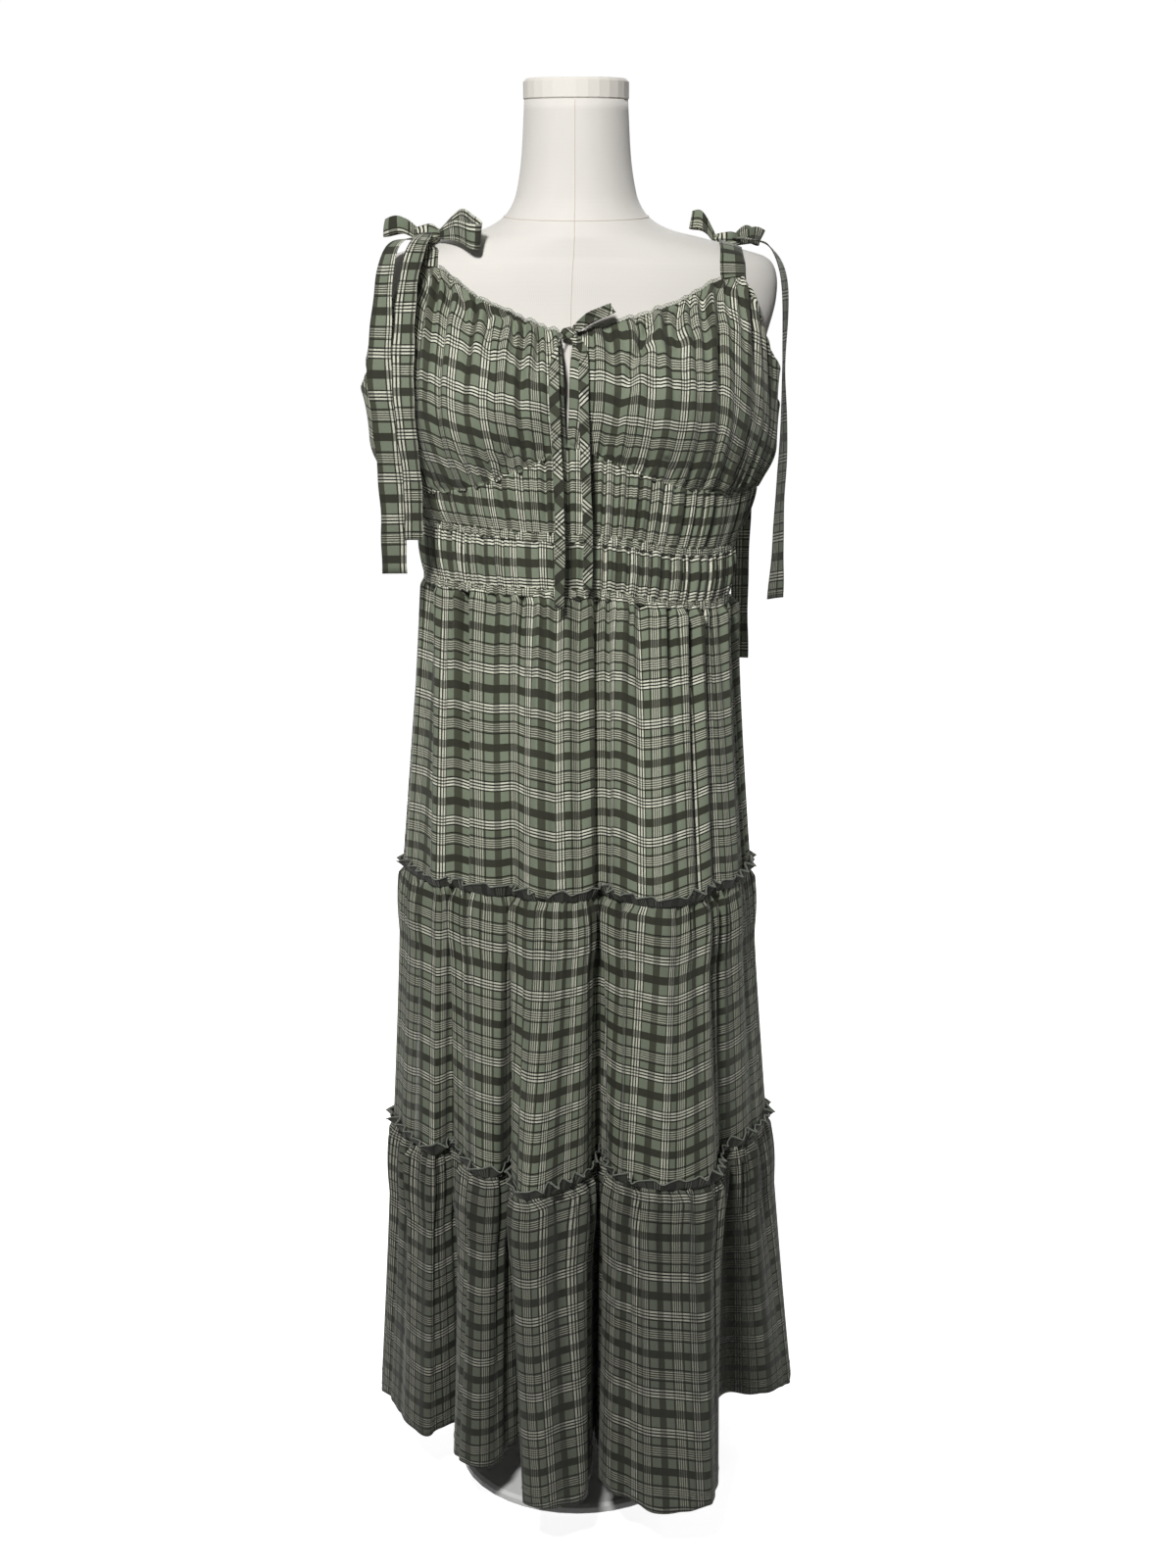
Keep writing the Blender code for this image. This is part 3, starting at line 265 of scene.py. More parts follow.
KEYHOLE_TIES = {
    "loop": (
        (0.001, -0.1100, 1.3050, -0.0015, 0.0000, 0.0025),
        (0.014, -0.1140, 1.3140, -0.0025, 0.0000, 0.0042),
        (0.030, -0.1140, 1.3200, -0.0025, 0.0000, 0.0045),
        (0.037, -0.1100, 1.3235, -0.0025, 0.0000, 0.0045),
        (0.031, -0.1070, 1.3210, -0.0025, 0.0000, 0.0045),
        (0.016, -0.1060, 1.3140, -0.0025, 0.0000, 0.0045),
        (0.000, -0.1060, 1.3070, -0.0015, 0.0000, 0.0022),
    ),
    "end_left": (
        (-0.018, -0.1100, 1.2970, 0.0004, 0.0005, 0.0028),
        (-0.020, -0.1220, 1.2870, 0.0025, 0.0010, 0.0025),
        (-0.021, -0.1340, 1.2680, 0.0045, 0.0008, 0.0010),
        (-0.021, -0.1440, 1.2350, 0.0048, 0.0000, 0.0000),
        (-0.018, -0.1450, 1.1700, 0.0048, 0.0005, 0.0000),
        (-0.016, -0.1420, 1.1000, 0.0048, 0.0000, 0.0000),
        (-0.017, -0.1380, 1.0280, 0.0048, 0.0000, 0.0000),
    ),
    "end_right": (
        (0.0040, -0.1120, 1.2920, 0.0015, 0.0000, 0.0024),
        (0.0070, -0.1220, 1.2830, 0.0030, 0.0008, 0.0020),
        (0.0075, -0.1340, 1.2680, 0.0045, 0.0008, 0.0008),
        (0.0080, -0.1430, 1.2350, 0.0048, 0.0000, 0.0000),
        (0.0100, -0.1450, 1.1600, 0.0046, -0.0010, 0.0000),
        (0.0125, -0.1400, 1.0950, 0.0046, 0.0010, 0.0000),
        (0.0115, -0.1380, 1.0480, 0.0048, 0.0000, 0.0000),
    ),
}


# Shape functions.
def hermite(first, lead, last, leave, t):
    """The point at t on the curve from first to last with these leads."""
    return (
        first * (2 * t**3 - 3 * t**2 + 1)
        + lead * (t**3 - 2 * t**2 + t)
        + last * (3 * t**2 - 2 * t**3)
        + leave * (t**3 - t**2)
    )


def spline_at(rows, marks, closed=True):
    """Points on the Catmull-Rom curve through rows at the given marks, in row numbers."""
    rows = np.asarray(rows, float)
    count = len(rows)
    made = []
    for mark in marks:
        i = min(int(mark), count - 1 if closed else count - 2)
        t = mark - i
        first, last = rows[i], rows[(i + 1) % count]
        before = rows[i - 1] if closed or i else 2 * first - last
        after = rows[(i + 2) % count] if closed or i + 2 < count else 2 * last - first
        reach = np.linalg.norm((last - first)[:2])
        lead = (last - before) * 0.5
        leave = (after - first) * 0.5
        lead *= min(1.0, reach / max(np.linalg.norm(lead[:2]), 1e-9))
        leave *= min(1.0, reach / max(np.linalg.norm(leave[:2]), 1e-9))
        made.append(hermite(first, lead, last, leave, t))
    return np.array(made)


def marks_between(rows, first, last, step, closed=True):
    """Row marks from first to last, about one step apart along the curve."""
    fine = np.linspace(first, last, (last - first) * 12 + 1)
    points = spline_at(rows, fine, closed)
    run = run_of(points[:, :2])
    count = max(2, int(run[-1] / step))
    return np.interp(np.linspace(0, run[-1], count + 1), run, fine)


def smooth(t):
    """A soft step from 0 to 1."""
    t = np.clip(t, 0.0, 1.0)
    return t * t * (3 - 2 * t)


def plan_normals(plan, closed):
    """Outward unit vectors at the points of a plan that runs anticlockwise from the front."""
    if closed:
        after = np.roll(plan, -1, axis=0) - plan
        before = plan - np.roll(plan, 1, axis=0)
    else:
        step = np.diff(plan, axis=0)
        after = np.vstack((step, step[-1:]))
        before = np.vstack((step[:1], step))
    along = after / np.linalg.norm(after, axis=1)[:, None]
    along = along + before / np.linalg.norm(before, axis=1)[:, None]
    along /= np.linalg.norm(along, axis=1)[:, None]
    return np.column_stack((along[:, 1], -along[:, 0]))


def run_of(line):
    """Distance along a line of points at each of them."""
    return np.concatenate(([0], np.cumsum(np.linalg.norm(np.diff(line, axis=0), axis=1))))


def walked(grid, axis):
    """Distance along one axis of a grid of points at each of them."""
    steps = np.linalg.norm(np.diff(grid, axis=axis), axis=2)
    return np.insert(np.cumsum(steps, axis=axis), 0, 0.0, axis=axis)


def averaged(values, reach):
    """Each value replaced by the mean of those up to reach places away."""
    wide = 2 * reach + 1
    return np.convolve(np.pad(values, reach, mode="edge"), np.ones(wide) / wide, mode="valid")


def off_ends(run, reach):
    """0 at both ends of a run and 1 beyond reach of them, so that side seams lie still."""
    return smooth(np.minimum(run, run[-1] - run) / reach)


def gathers(run, drop, waves, seed):
    """Height of gathered ripples at each place along the run and each drop below the stitches.

    Each wave has a length along the cloth, a height and a drop over which it dies away.
    """
    draw = np.random.default_rng(seed)
    total = np.zeros((len(drop), len(run)))
    for length, height, fade in waves:
        bend = np.zeros(len(run))
        for k in range(1, 6):
            share = draw.uniform(0.4, 1.3) / k
            bend += share * np.sin(run * draw.uniform(6, 40) + draw.uniform(0, TURN))
        swell = 0.70 + 0.34 * np.sin(run * draw.uniform(15, 60) + draw.uniform(0, TURN))
        swell += 0.26 * np.sin(run * draw.uniform(90, 160) + draw.uniform(0, TURN))
        phase = 2 * np.pi * run / length + bend * 1.5
        lean = draw.uniform(-0.8, 0.8)
        wave = np.sin(phase + lean * np.sin(phase) * 0.5)
        # Crests are round and valleys narrow, as in cloth drawn up on a thread.
        wave = 2 * (0.5 + 0.5 * wave) ** 0.55 - 1.15
        reach = fade * (0.7 + 0.6 * draw.uniform(0, 1, len(run) // 6 + 2).repeat(6)[: len(run)])
        total += height * swell * wave * np.exp(-np.asarray(drop)[:, None] / averaged(reach, 7))
    return total


# Mesh helpers.
def placed(obj):
    """Links an object to the scene."""
    bpy.context.scene.collection.objects.link(obj)
    return obj


def cloth_mesh(name, points, faces, uvs, paint, outward=False):
    """One visible piece on body root, with uvs as metres of cloth. outward turns its faces out."""
    mesh = bpy.data.meshes.new(name)
    mesh.from_pydata(np.asarray(points).tolist(), [], faces)
    if outward:
        work = bmesh.new()
        work.from_mesh(mesh)
        bmesh.ops.recalc_face_normals(work, faces=work.faces)
        work.to_mesh(mesh)
        work.free()
    corner = np.empty(len(mesh.loops), np.int32)
    mesh.loops.foreach_get("vertex_index", corner)
    layer = mesh.uv_layers.new(name="cloth")
    layer.data.foreach_set("uv", np.asarray(uvs)[corner].astype(np.float32).ravel())
    mesh.polygons.foreach_set("use_smooth", [True] * len(mesh.polygons))
    mesh.update()
    mesh.materials.append(paint)
    obj = placed(bpy.data.objects.new(name, mesh))
    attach(obj, "root")
    return obj


def grid_faces(rows, columns, closed=False):
    """Faces of a grid of rows and columns, rows running down."""
    across = np.arange(columns if closed else columns - 1)
    j, i = np.meshgrid(np.arange(rows - 1), across, indexing="ij")
    k = (i + 1) % columns
    above, below = j * columns, (j + 1) * columns
    return np.stack((above + i, below + i, below + k, above + k), -1).reshape(-1, 4).tolist()


def cloth_grid(name, points, uvs, paint, wall=CLOTH):
    """A sheet of cloth from an array of rows, columns and xyz, and its uvs."""
    faces = grid_faces(*points.shape[:2])
    piece = cloth_mesh(name, points.reshape(-1, 3), faces, uvs.reshape(-1, 2), paint)
    thick = piece.modifiers.new("cloth", "SOLIDIFY")
    thick.thickness = wall
    # The cloth grows inwards.
    thick.offset = -1.0
    return piece


def tube(name, path, radius, paint, sides=6, closed=False):
    """A round thread along a path of points."""
    path = np.asarray(path, float)
    if closed:
        along = np.roll(path, -1, axis=0) - np.roll(path, 1, axis=0)
    else:
        along = np.gradient(path, axis=0)
    along /= np.linalg.norm(along, axis=1)[:, None]
    up = np.tile((0.0, 0.0, 1.0), (len(path), 1))
    steep = np.abs(along[:, 2]) > 0.9
    up[steep] = (1.0, 0.0, 0.0)
    side = np.cross(along, up)
    side /= np.linalg.norm(side, axis=1)[:, None]
    up = np.cross(side, along)
    rings = []
    for k in range(sides):
        angle = 2 * math.pi * k / sides
        rings.append(path + radius * (side * math.cos(angle) + up * math.sin(angle)))
    points = np.stack(rings, axis=1)
    faces = grid_faces(len(path), sides, closed=True)
    last = (len(path) - 1) * sides
    if closed:
        faces += [[last + k, k, (k + 1) % sides, last + (k + 1) % sides] for k in range(sides)]
    else:
        fans = [(0, k, k + 1, (k + 2) % sides) for k in range(1, sides - 2, 2)]
        faces += [list(fan) for fan in fans]
        faces += [[last + k for k in (a, d, c, b)] for a, b, c, d in fans]
    around = np.tile(np.linspace(0, 0.01, sides), len(path))
    uvs = np.column_stack((np.repeat(run_of(path), sides), around))
    return cloth_mesh(name, points.reshape(-1, 3), faces, uvs, paint)


# Colours, as 8-bit display values.
SAGE = (134, 143, 122)
OLIVE = (136, 132, 98)
CREAM = (246, 246, 226)
# The grey that painted shade mixes into the plaid.
PAINTED_SHADE_GREY = (130, 129, 119)
DARK_YARN = (74, 78, 70)
PALE_YARN = (112, 117, 106)
JERSEY = (232, 228, 221)


# Materials.
def nodes_of(name):
    """A new node material, its tree and its Principled shader."""
    made = bpy.data.materials.new(name)
    made.use_nodes = True
    return made, made.node_tree, made.node_tree.nodes["Principled BSDF"]


def linear(colour):
    """Scene colour for an 8-bit display colour."""
    return tuple(
        c / 255 / 12.92 if c <= 10 else ((c / 255 + 0.055) / 1.055) ** 2.4 for c in colour
    )


def add(tree, kind, **values):
    """A new node with these settings."""
    node = tree.nodes.new(kind)
    for key, value in values.items():
        setattr(node, key, value)
    return node


def maths(tree, operation, a, b=None, c=None, clamp=False):
    """A Math node whose inputs are sockets or numbers. Its result socket is returned."""
    node = add(tree, "ShaderNodeMath", operation=operation, use_clamp=clamp)
    for socket, value in zip(node.inputs, (a, b, c)):
        if value is None:
            continue
        if isinstance(value, (int, float)):
            socket.default_value = value
        else:
            tree.links.new(value, socket)
    return node.outputs[0]


def colour_mix(tree, share, a, b, blend="MIX"):
    """A colour mix. Its result socket is returned."""
    node = add(tree, "ShaderNodeMix", data_type="RGBA", blend_type=blend)
    for socket, value in ((node.inputs[0], share), (node.inputs[6], a), (node.inputs[7], b)):
        if isinstance(value, tuple):
            socket.default_value = (*value, 1.0)
        elif isinstance(value, (int, float)):
            socket.default_value = value
        else:
            tree.links.new(value, socket)
    return node.outputs[2]


def noise(tree, place, scale, detail=2.0, **values):
    """A noise texture read at a place."""
    node = add(tree, "ShaderNodeTexNoise", **values)
    node.inputs["Scale"].default_value = scale
    node.inputs["Detail"].default_value = detail
    tree.links.new(place, node.inputs["Vector"])
    return node


def stripes(tree, place, direction, scale, distortion, detail=2.0):
    """A texture of stripes across a direction. Its strength is returned."""
    node = add(tree, "ShaderNodeTexWave", wave_type="BANDS", bands_direction=direction)
    node.inputs["Scale"].default_value = scale
    node.inputs["Distortion"].default_value = distortion
    node.inputs["Detail"].default_value = detail
    tree.links.new(place, node.inputs["Vector"])
    return node.outputs[1]


def relief(tree, shader, height, strength, distance):
    """Joins a height to the shader as a fine relief."""
    bump = add(tree, "ShaderNodeBump")
    bump.inputs["Strength"].default_value = strength
    bump.inputs["Distance"].default_value = distance
    tree.links.new(height, bump.inputs["Height"])
    tree.links.new(bump.outputs[0], shader.inputs["Normal"])


HALF_SETT = 0.0625
# The plaid's half repeat, from the middle of one wide band to the middle of the next.
# Columns: width in mm, brightness of the ground, share of cream thread.
SETT = (
    (4.25, 0.42, 0.0),
    (10.5, 1.00, 0.0),
    (1.6, 0.27, 0.0),
    (1.8, 1.00, 1.0),
    (1.5, 0.27, 0.0),
    (1.8, 1.00, 1.0),
    (1.5, 0.27, 0.0),
    (1.8, 1.00, 1.0),
    (1.6, 0.27, 0.0),
    (7.0, 1.00, 0.0),
    (1.5, 0.27, 0.0),
    (1.5, 0.74, 0.0),
    (0.9, 0.90, 0.7),
    (1.5, 0.60, 0.0),
    (0.9, 0.90, 0.7),
    (1.5, 0.60, 0.0),
    (0.9, 0.90, 0.7),
    (1.5, 0.60, 0.0),
    (0.9, 0.90, 0.7),
    (1.5, 0.74, 0.0),
    (1.5, 0.27, 0.0),
    (10.0, 1.00, 0.0),
    (4.25, 0.42, 0.0),
)


def sett_ramp(tree, place, column):
    """Reads one column of the sett at a place in metres across the cloth."""
    folded = maths(tree, "PINGPONG", place, HALF_SETT)
    share = maths(tree, "DIVIDE", folded, HALF_SETT)
    ramp = add(tree, "ShaderNodeValToRGB")
    ramp.color_ramp.interpolation = "CONSTANT"
    stops = ramp.color_ramp.elements
    total = sum(row[0] for row in SETT)
    at = 0.0
    for i, row in enumerate(SETT):
        stop = stops[0] if i == 0 else stops.new(at / total) if i > 1 else stops[1]
        stop.position = at / total
        stop.color = (row[column],) * 3 + (1.0,)
        at += row[0]
    tree.links.new(share, ramp.inputs[0])
    return ramp.outputs[0]


# How far the crinkle of the cloth moves a thread.
CRINKLE = 0.0003
# Brightness on a display to the power of this is brightness in the scene.
GAMMA = 2.2


def plaid(name, turn=0.0, shift=(0.0, 0.0), deep=1.0, edge=None):
    """The woven plaid. turn is the bias angle, edge names a row of overlock thread, and deep is painted
    shade: below 1 it darkens and greys this copy of the plaid.
    """
    made, tree, shader = nodes_of(name)
    cloth = add(tree, "ShaderNodeUVMap", uv_map="cloth")
    mapping = add(tree, "ShaderNodeMapping")
    mapping.inputs["Location"].default_value = (shift[0], shift[1], 0.0)
    mapping.inputs["Rotation"].default_value = (0.0, 0.0, turn)
    tree.links.new(cloth.outputs[0], mapping.inputs[0])
    crinkle = noise(tree, mapping.outputs[0], 420.0, noise_dimensions="2D")
    split = add(tree, "ShaderNodeSeparateXYZ")
    tree.links.new(mapping.outputs[0], split.inputs[0])
    jolt = add(tree, "ShaderNodeSeparateColor")
    tree.links.new(crinkle.outputs["Color"], jolt.inputs[0])
    across = maths(tree, "MULTIPLY_ADD", jolt.outputs[0], CRINKLE, split.outputs[0])
    down = maths(tree, "MULTIPLY_ADD", jolt.outputs[1], CRINKLE, split.outputs[1])
    # Bands that run down the cloth are paler than those that run across it.
    ground_u = maths(tree, "POWER", sett_ramp(tree, across, 1), 0.70)
    ground_v = sett_ramp(tree, down, 1)
    cream_u = sett_ramp(tree, across, 2)
    cream_v = sett_ramp(tree, down, 2)
    low = maths(tree, "MINIMUM", ground_u, ground_v)
    high = maths(tree, "MAXIMUM", ground_u, ground_v)
    ground = maths(tree, "MULTIPLY", low, maths(tree, "MULTIPLY_ADD", high, 0.25, 0.75))
    both = maths(tree, "MULTIPLY", cream_u, cream_v)
    either = maths(
        tree,
        "MAXIMUM",
        maths(tree, "MULTIPLY", cream_u, maths(tree, "POWER", ground_v, 1.3)),
        maths(tree, "MULTIPLY", cream_v, maths(tree, "POWER", ground_u, 1.3)),
    )
    thread = noise(tree, mapping.outputs[0], 900.0, 1.0, noise_dimensions="2D")
    broken = maths(tree, "MULTIPLY_ADD", thread.outputs[0], 0.8, 0.48)
    cream = maths(tree, "MULTIPLY", either, broken)
    cream = maths(tree, "MULTIPLY_ADD", both, 0.45, cream, clamp=True)
    hue = colour_mix(tree, ground, linear(OLIVE), linear(SAGE))
    # Painted shade: the lower deep is, the more grey is mixed into the cloth.
    hue = colour_mix(tree, max(0.0, 0.8 - deep), hue, linear(PAINTED_SHADE_GREY))
    # The ground factors are shares of display brightness.
    ground = maths(tree, "POWER", ground, GAMMA)
    patch = noise(tree, cloth.outputs[0], 9.0, noise_dimensions="2D")
    tone = maths(tree, "MULTIPLY_ADD", patch.outputs[0], 0.30, 0.85)
    tone = maths(tree, "MULTIPLY", tone, maths(tree, "MULTIPLY_ADD", thread.outputs[0], 0.5, 0.75))
    # Painted shade: deep darkens the ground.
    tone = maths(tree, "MULTIPLY", tone, deep)
    base = colour_mix(tree, 1.0, hue, maths(tree, "MULTIPLY", ground, tone), "MULTIPLY")
    # The cream threads get the same painted shade.
    colour = colour_mix(tree, cream, base, tuple(c * deep for c in linear(CREAM)))
    if edge:
        place = add(tree, "ShaderNodeSeparateXYZ")
        tree.links.new(cloth.outputs[0], place.inputs[0])
        inside = maths(tree, "LESS_THAN", place.outputs[1], edge)
        loops = stripes(tree, cloth.outputs[0], "X", 160.0, 1.0)
        yarn = colour_mix(tree, loops, linear(DARK_YARN), linear(PALE_YARN))
        colour = colour_mix(tree, inside, colour, yarn)
    tree.links.new(colour, shader.inputs["Base Color"])
    rough = maths(tree, "MULTIPLY_ADD", thread.outputs[0], 0.18, 0.72)
    tree.links.new(rough, shader.inputs["Roughness"])
    shader.inputs["Sheen Weight"].default_value = 0.08
    shader.inputs["Sheen Roughness"].default_value = 0.5
    shader.inputs["Specular IOR Level"].default_value = 0.25
    stretch = add(tree, "ShaderNodeMapping")
    stretch.inputs["Scale"].default_value = (1.0, 0.35, 1.0)
    tree.links.new(cloth.outputs[0], stretch.inputs[0])
    weave = noise(tree, stretch.outputs[0], 1500.0, 3.0, noise_dimensions="2D")
    height = maths(tree, "ADD", weave.outputs[0], maths(tree, "MULTIPLY", crinkle.outputs[0], 1.2))
    relief(tree, shader, height, 0.35, 0.0006)
    return made


def plain(name, colour, rough, fine=1200.0, high=0.0002, spread=0.12):
    """A plain material with a fine grain in its colour, roughness and relief."""
    made, tree, shader = nodes_of(name)
    place = add(tree, "ShaderNodeTexCoord")
    speck = noise(tree, place.outputs["Object"], fine, 3.0).outputs[0]
    tone = maths(tree, "MULTIPLY_ADD", speck, spread, 1 - spread / 2)
    base = colour_mix(tree, 1.0, linear(colour), tone, "MULTIPLY")
    tree.links.new(base, shader.inputs["Base Color"])
    dull = maths(tree, "MULTIPLY_ADD", speck, 0.15, rough - 0.07)
    tree.links.new(dull, shader.inputs["Roughness"])
    relief(tree, shader, speck, 0.4, high)
    return made


def jersey(name):
    """The form's off-white cover: a fine weave of two crossed bands with a faint shade."""
    made, tree, shader = nodes_of(name)
    cloth = add(tree, "ShaderNodeUVMap", uv_map="cloth")
    ribs, courses = (stripes(tree, cloth.outputs[0], direction, 260.0, 1.2, 1.0) for direction in "XY")
    weave = maths(tree, "MULTIPLY", ribs, courses)
    shade = noise(tree, cloth.outputs[0], 30.0).outputs[0]
    tone = maths(tree, "MULTIPLY_ADD", weave, 0.07, 0.93)
    tone = maths(tree, "MULTIPLY", tone, maths(tree, "MULTIPLY_ADD", shade, 0.05, 0.975))
    base = colour_mix(tree, 1.0, linear(JERSEY), tone, "MULTIPLY")
    tree.links.new(base, shader.inputs["Base Color"])
    tree.links.new(maths(tree, "MULTIPLY_ADD", weave, -0.1, 0.92), shader.inputs["Roughness"])
    shader.inputs["Sheen Weight"].default_value = 0.2
    relief(tree, shader, weave, 0.25, 0.0003)
    return made


# shift moves the plaid over the cloth in metres, and deep darkens it as painted shade: the lower tiers,
# the bodice, the ties and the frills are shaded copies of one plaid.
TIER_PAINT = {
    1: plaid("tier_1_plaid", shift=(0.012, 0.020)),
    # Painted shade: the lower the tier, the darker its plaid.
    2: plaid("tier_2_plaid", shift=(0.041, 0.047), deep=0.78),
    3: plaid("tier_3_plaid", shift=(0.006, 0.010), deep=0.49),
}
BODICE_PAINT = plaid("bodice_plaid", shift=(0.0, 0.0), deep=0.84)
BAND_PAINT = plaid("midriff_plaid", shift=(0.0, 0.030))
TIE_PAINT = plaid("tie_plaid", shift=(0.011, 0.0), deep=0.78)
BIAS_PAINT = plaid("bias_plaid", turn=math.radians(45), deep=0.78)
# Painted shade: the frills are a much darker copy of the plaid.
FRILL_PAINT = plaid("frill_plaid", shift=(0.0, 0.002), deep=0.18, edge=0.0012)
THREAD_PAINT = plain("olive_thread", (96, 102, 88), 0.8)
OVERLOCK_PAINT = plain("overlock_thread", (122, 126, 115), 0.8)
PICOT_PAINT = plain("picot_thread", (160, 165, 146), 0.8)
COVER_PAINT = jersey("jersey_cover")
SEAM_PAINT = plain("cover_seam", (214, 205, 194), 0.9)
CAP_PAINT = plain("neck_cap", (233, 228, 219), 0.85, 900.0, 0.0002, 0.05)
STAND_PAINT = plain("stand_paint", (252, 252, 250), 0.45, 300.0, 0.0001, 0.05)


# The skirt.
LEVEL_Z = (WAIST_Z, SEAM_1_Z, SEAM_2_Z, HEM_Z)
# How far from the middle the waist seam reaches its side heights, and where the plaid of the
# back halves starts.
WAIST_LEFT, WAIST_RIGHT = 0.16, 0.15
BACK_SHIFT = 0.6
HEM_TURN = 0.012
# The gathers die away this far from a side seam.
SEAM_CALM = 0.006
ROWS = [[row[1 + 2 * level : 3 + 2 * level] for row in SKIRT_FOLDS] for level in range(4)]
LOOP = len(SKIRT_FOLDS)
HALVES = {"front": (0, SIDE_RIGHT_ROW), "back": (SIDE_RIGHT_ROW, LOOP)}


def waist_z(x):
    """Height of the waist seam, which hangs lower on the viewer's right."""
    left, middle, right = ELASTIC_RINGS[1][4:]
    return np.where(
        x < 0,
        middle + (left - middle) * smooth(-x / WAIST_LEFT),
        middle + (right - middle) * smooth(x / WAIST_RIGHT),
    )


def bend_limit(plan):
    """How much of a ripple fits at each point, less where the plan bends sharply."""
    normals = plan_normals(plan, False)
    turn = np.linalg.norm(np.gradient(normals, axis=0), axis=1)
    step = np.linalg.norm(np.gradient(plan, axis=0), axis=1)
    bend = turn / np.maximum(step, 1e-6)
    return 1 / (1 + (averaged(bend, 3) * 0.010) ** 2)


# Distances between the columns at a tier's top and lower edge, and between its rows.
TOP_STEP = 0.0023
LOW_STEP = 0.0028
DROP_STEP = 0.0088
# Gathers of each tier. Columns: wave length along the cloth, height, drop over which it fades.
TIER_GATHERS = {
    1: ((0.010, 0.0028, 0.036), (0.017, 0.0056, 0.085), (0.033, 0.0078, 0.260), (0.062, 0.0076, 1.200)),
    2: ((0.011, 0.0032, 0.030), (0.018, 0.0058, 0.068), (0.034, 0.0078, 0.180), (0.064, 0.0056, 0.600)),
    3: ((0.011, 0.0032, 0.030), (0.019, 0.0062, 0.072), (0.036, 0.0082, 0.200), (0.070, 0.0060, 0.700)),
}
# Gathers that rise from the seam under tiers 1 and 2, in the same columns.
RISING_GATHERS = ((0.013, 0.0007, 0.010), (0.022, 0.0007, 0.020))
# How the plaid wavers over a tier. Columns: wave length, height.
SWAYS = ((0.31, 0.0030), (0.13, 0.0024), (0.071, 0.0016))


def tier_rows(length):
    """Drops below the seam, closer together near the gathers."""
    near = np.array((0, 0.003, 0.006, 0.010, 0.014, 0.019, 0.025, 0.032, 0.040))
    return np.concatenate((near, np.linspace(0.048, length, int(length / DROP_STEP))))


def tier_surface(tier, half):
    """Points and cloth places of half a tier, with its gathers."""
    first, last = HALVES[half]
    marks = marks_between(ROWS[tier - 1], first, last, TOP_STEP)
    # The marks follow the lower edge too, so that wide folds keep enough columns.
    low_marks = marks_between(ROWS[tier], first, last, LOW_STEP)
    count = max(len(marks), len(low_marks))
    share = np.linspace(0, 1, count)
    marks = 0.5 * np.interp(share, np.linspace(0, 1, len(marks)), marks)
    marks += 0.5 * np.interp(share, np.linspace(0, 1, len(low_marks)), low_marks)
    top, low = spline_at(ROWS[tier - 1], marks), spline_at(ROWS[tier], marks)
    width = run_of(low)
    start = waist_z(top[:, 0]) if tier == 1 else np.full(count, LEVEL_Z[tier - 1])
    end = LEVEL_Z[tier]
    length = float(start.mean() - end) * 1.01
    drops = tier_rows(length)
    ripple = gathers(width, drops, TIER_GATHERS[tier], 10 * tier + len(half))
    if tier < 3:
        ripple += gathers(width, length - drops, RISING_GATHERS, 90 + tier)
    draw = np.random.default_rng(70 + tier + len(half))
    sway = sum(
        high * np.sin(width * 2 * np.pi / long + draw.uniform(0, TURN))
        for long, high in SWAYS
    )
    points = np.empty((len(drops), count, 3))
    uvs = np.empty((len(drops), count, 2))
    for j, drop in enumerate(drops):
        t = drop / length
        plan = top + (low - top) * t
        puff = 0.0030 * math.sin(math.pi * min(t / 0.25, 1.0)) * (tier > 1)
        settle = 0.35 + 0.65 * float(smooth(drop / 0.012))
        if tier < 3:
            settle *= 0.3 + 0.7 * float(smooth((length - drop) / 0.010))
        out = puff + ripple[j] * settle * bend_limit(plan) * off_ends(width, SEAM_CALM)
        plan = plan + plan_normals(plan, False) * out[:, None]
        points[j, :, :2] = plan
        points[j, :, 2] = start + (end - start) * t
        long = run_of(plan)
        # The plaid follows the gathers a little way, across and down.
        uvs[j, :, 0] = (0.75 * width + 0.25 * long * (width[-1] / long[-1])) * 1.1
        uvs[j, :, 1] = drop + sway * (0.4 + 0.6 * t) + 0.5 * out
    if tier == 3:
        # The hem waves a little up and down.
        flare = 0.0022 * np.sin(width / 0.041 * 2 * np.pi / 3) + 0.0016 * np.sin(width * 97)
        points[-1, :, 2] += flare
        points[-2, :, 2] += flare * 0.6
    return points, uvs, width, length


SEWN = []
for tier in (1, 2, 3):
    for half in ("front", "back"):
        points, uvs, width, length = tier_surface(tier, half)
        if half == "back":
            uvs[..., 0] += BACK_SHIFT
        name = f"tier_{tier}_{half}"
        piece = cloth_grid(f"{name}_cloth", points, uvs, TIER_PAINT[tier])
        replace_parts(piece, name)
        SEWN.append((name, points, uvs))


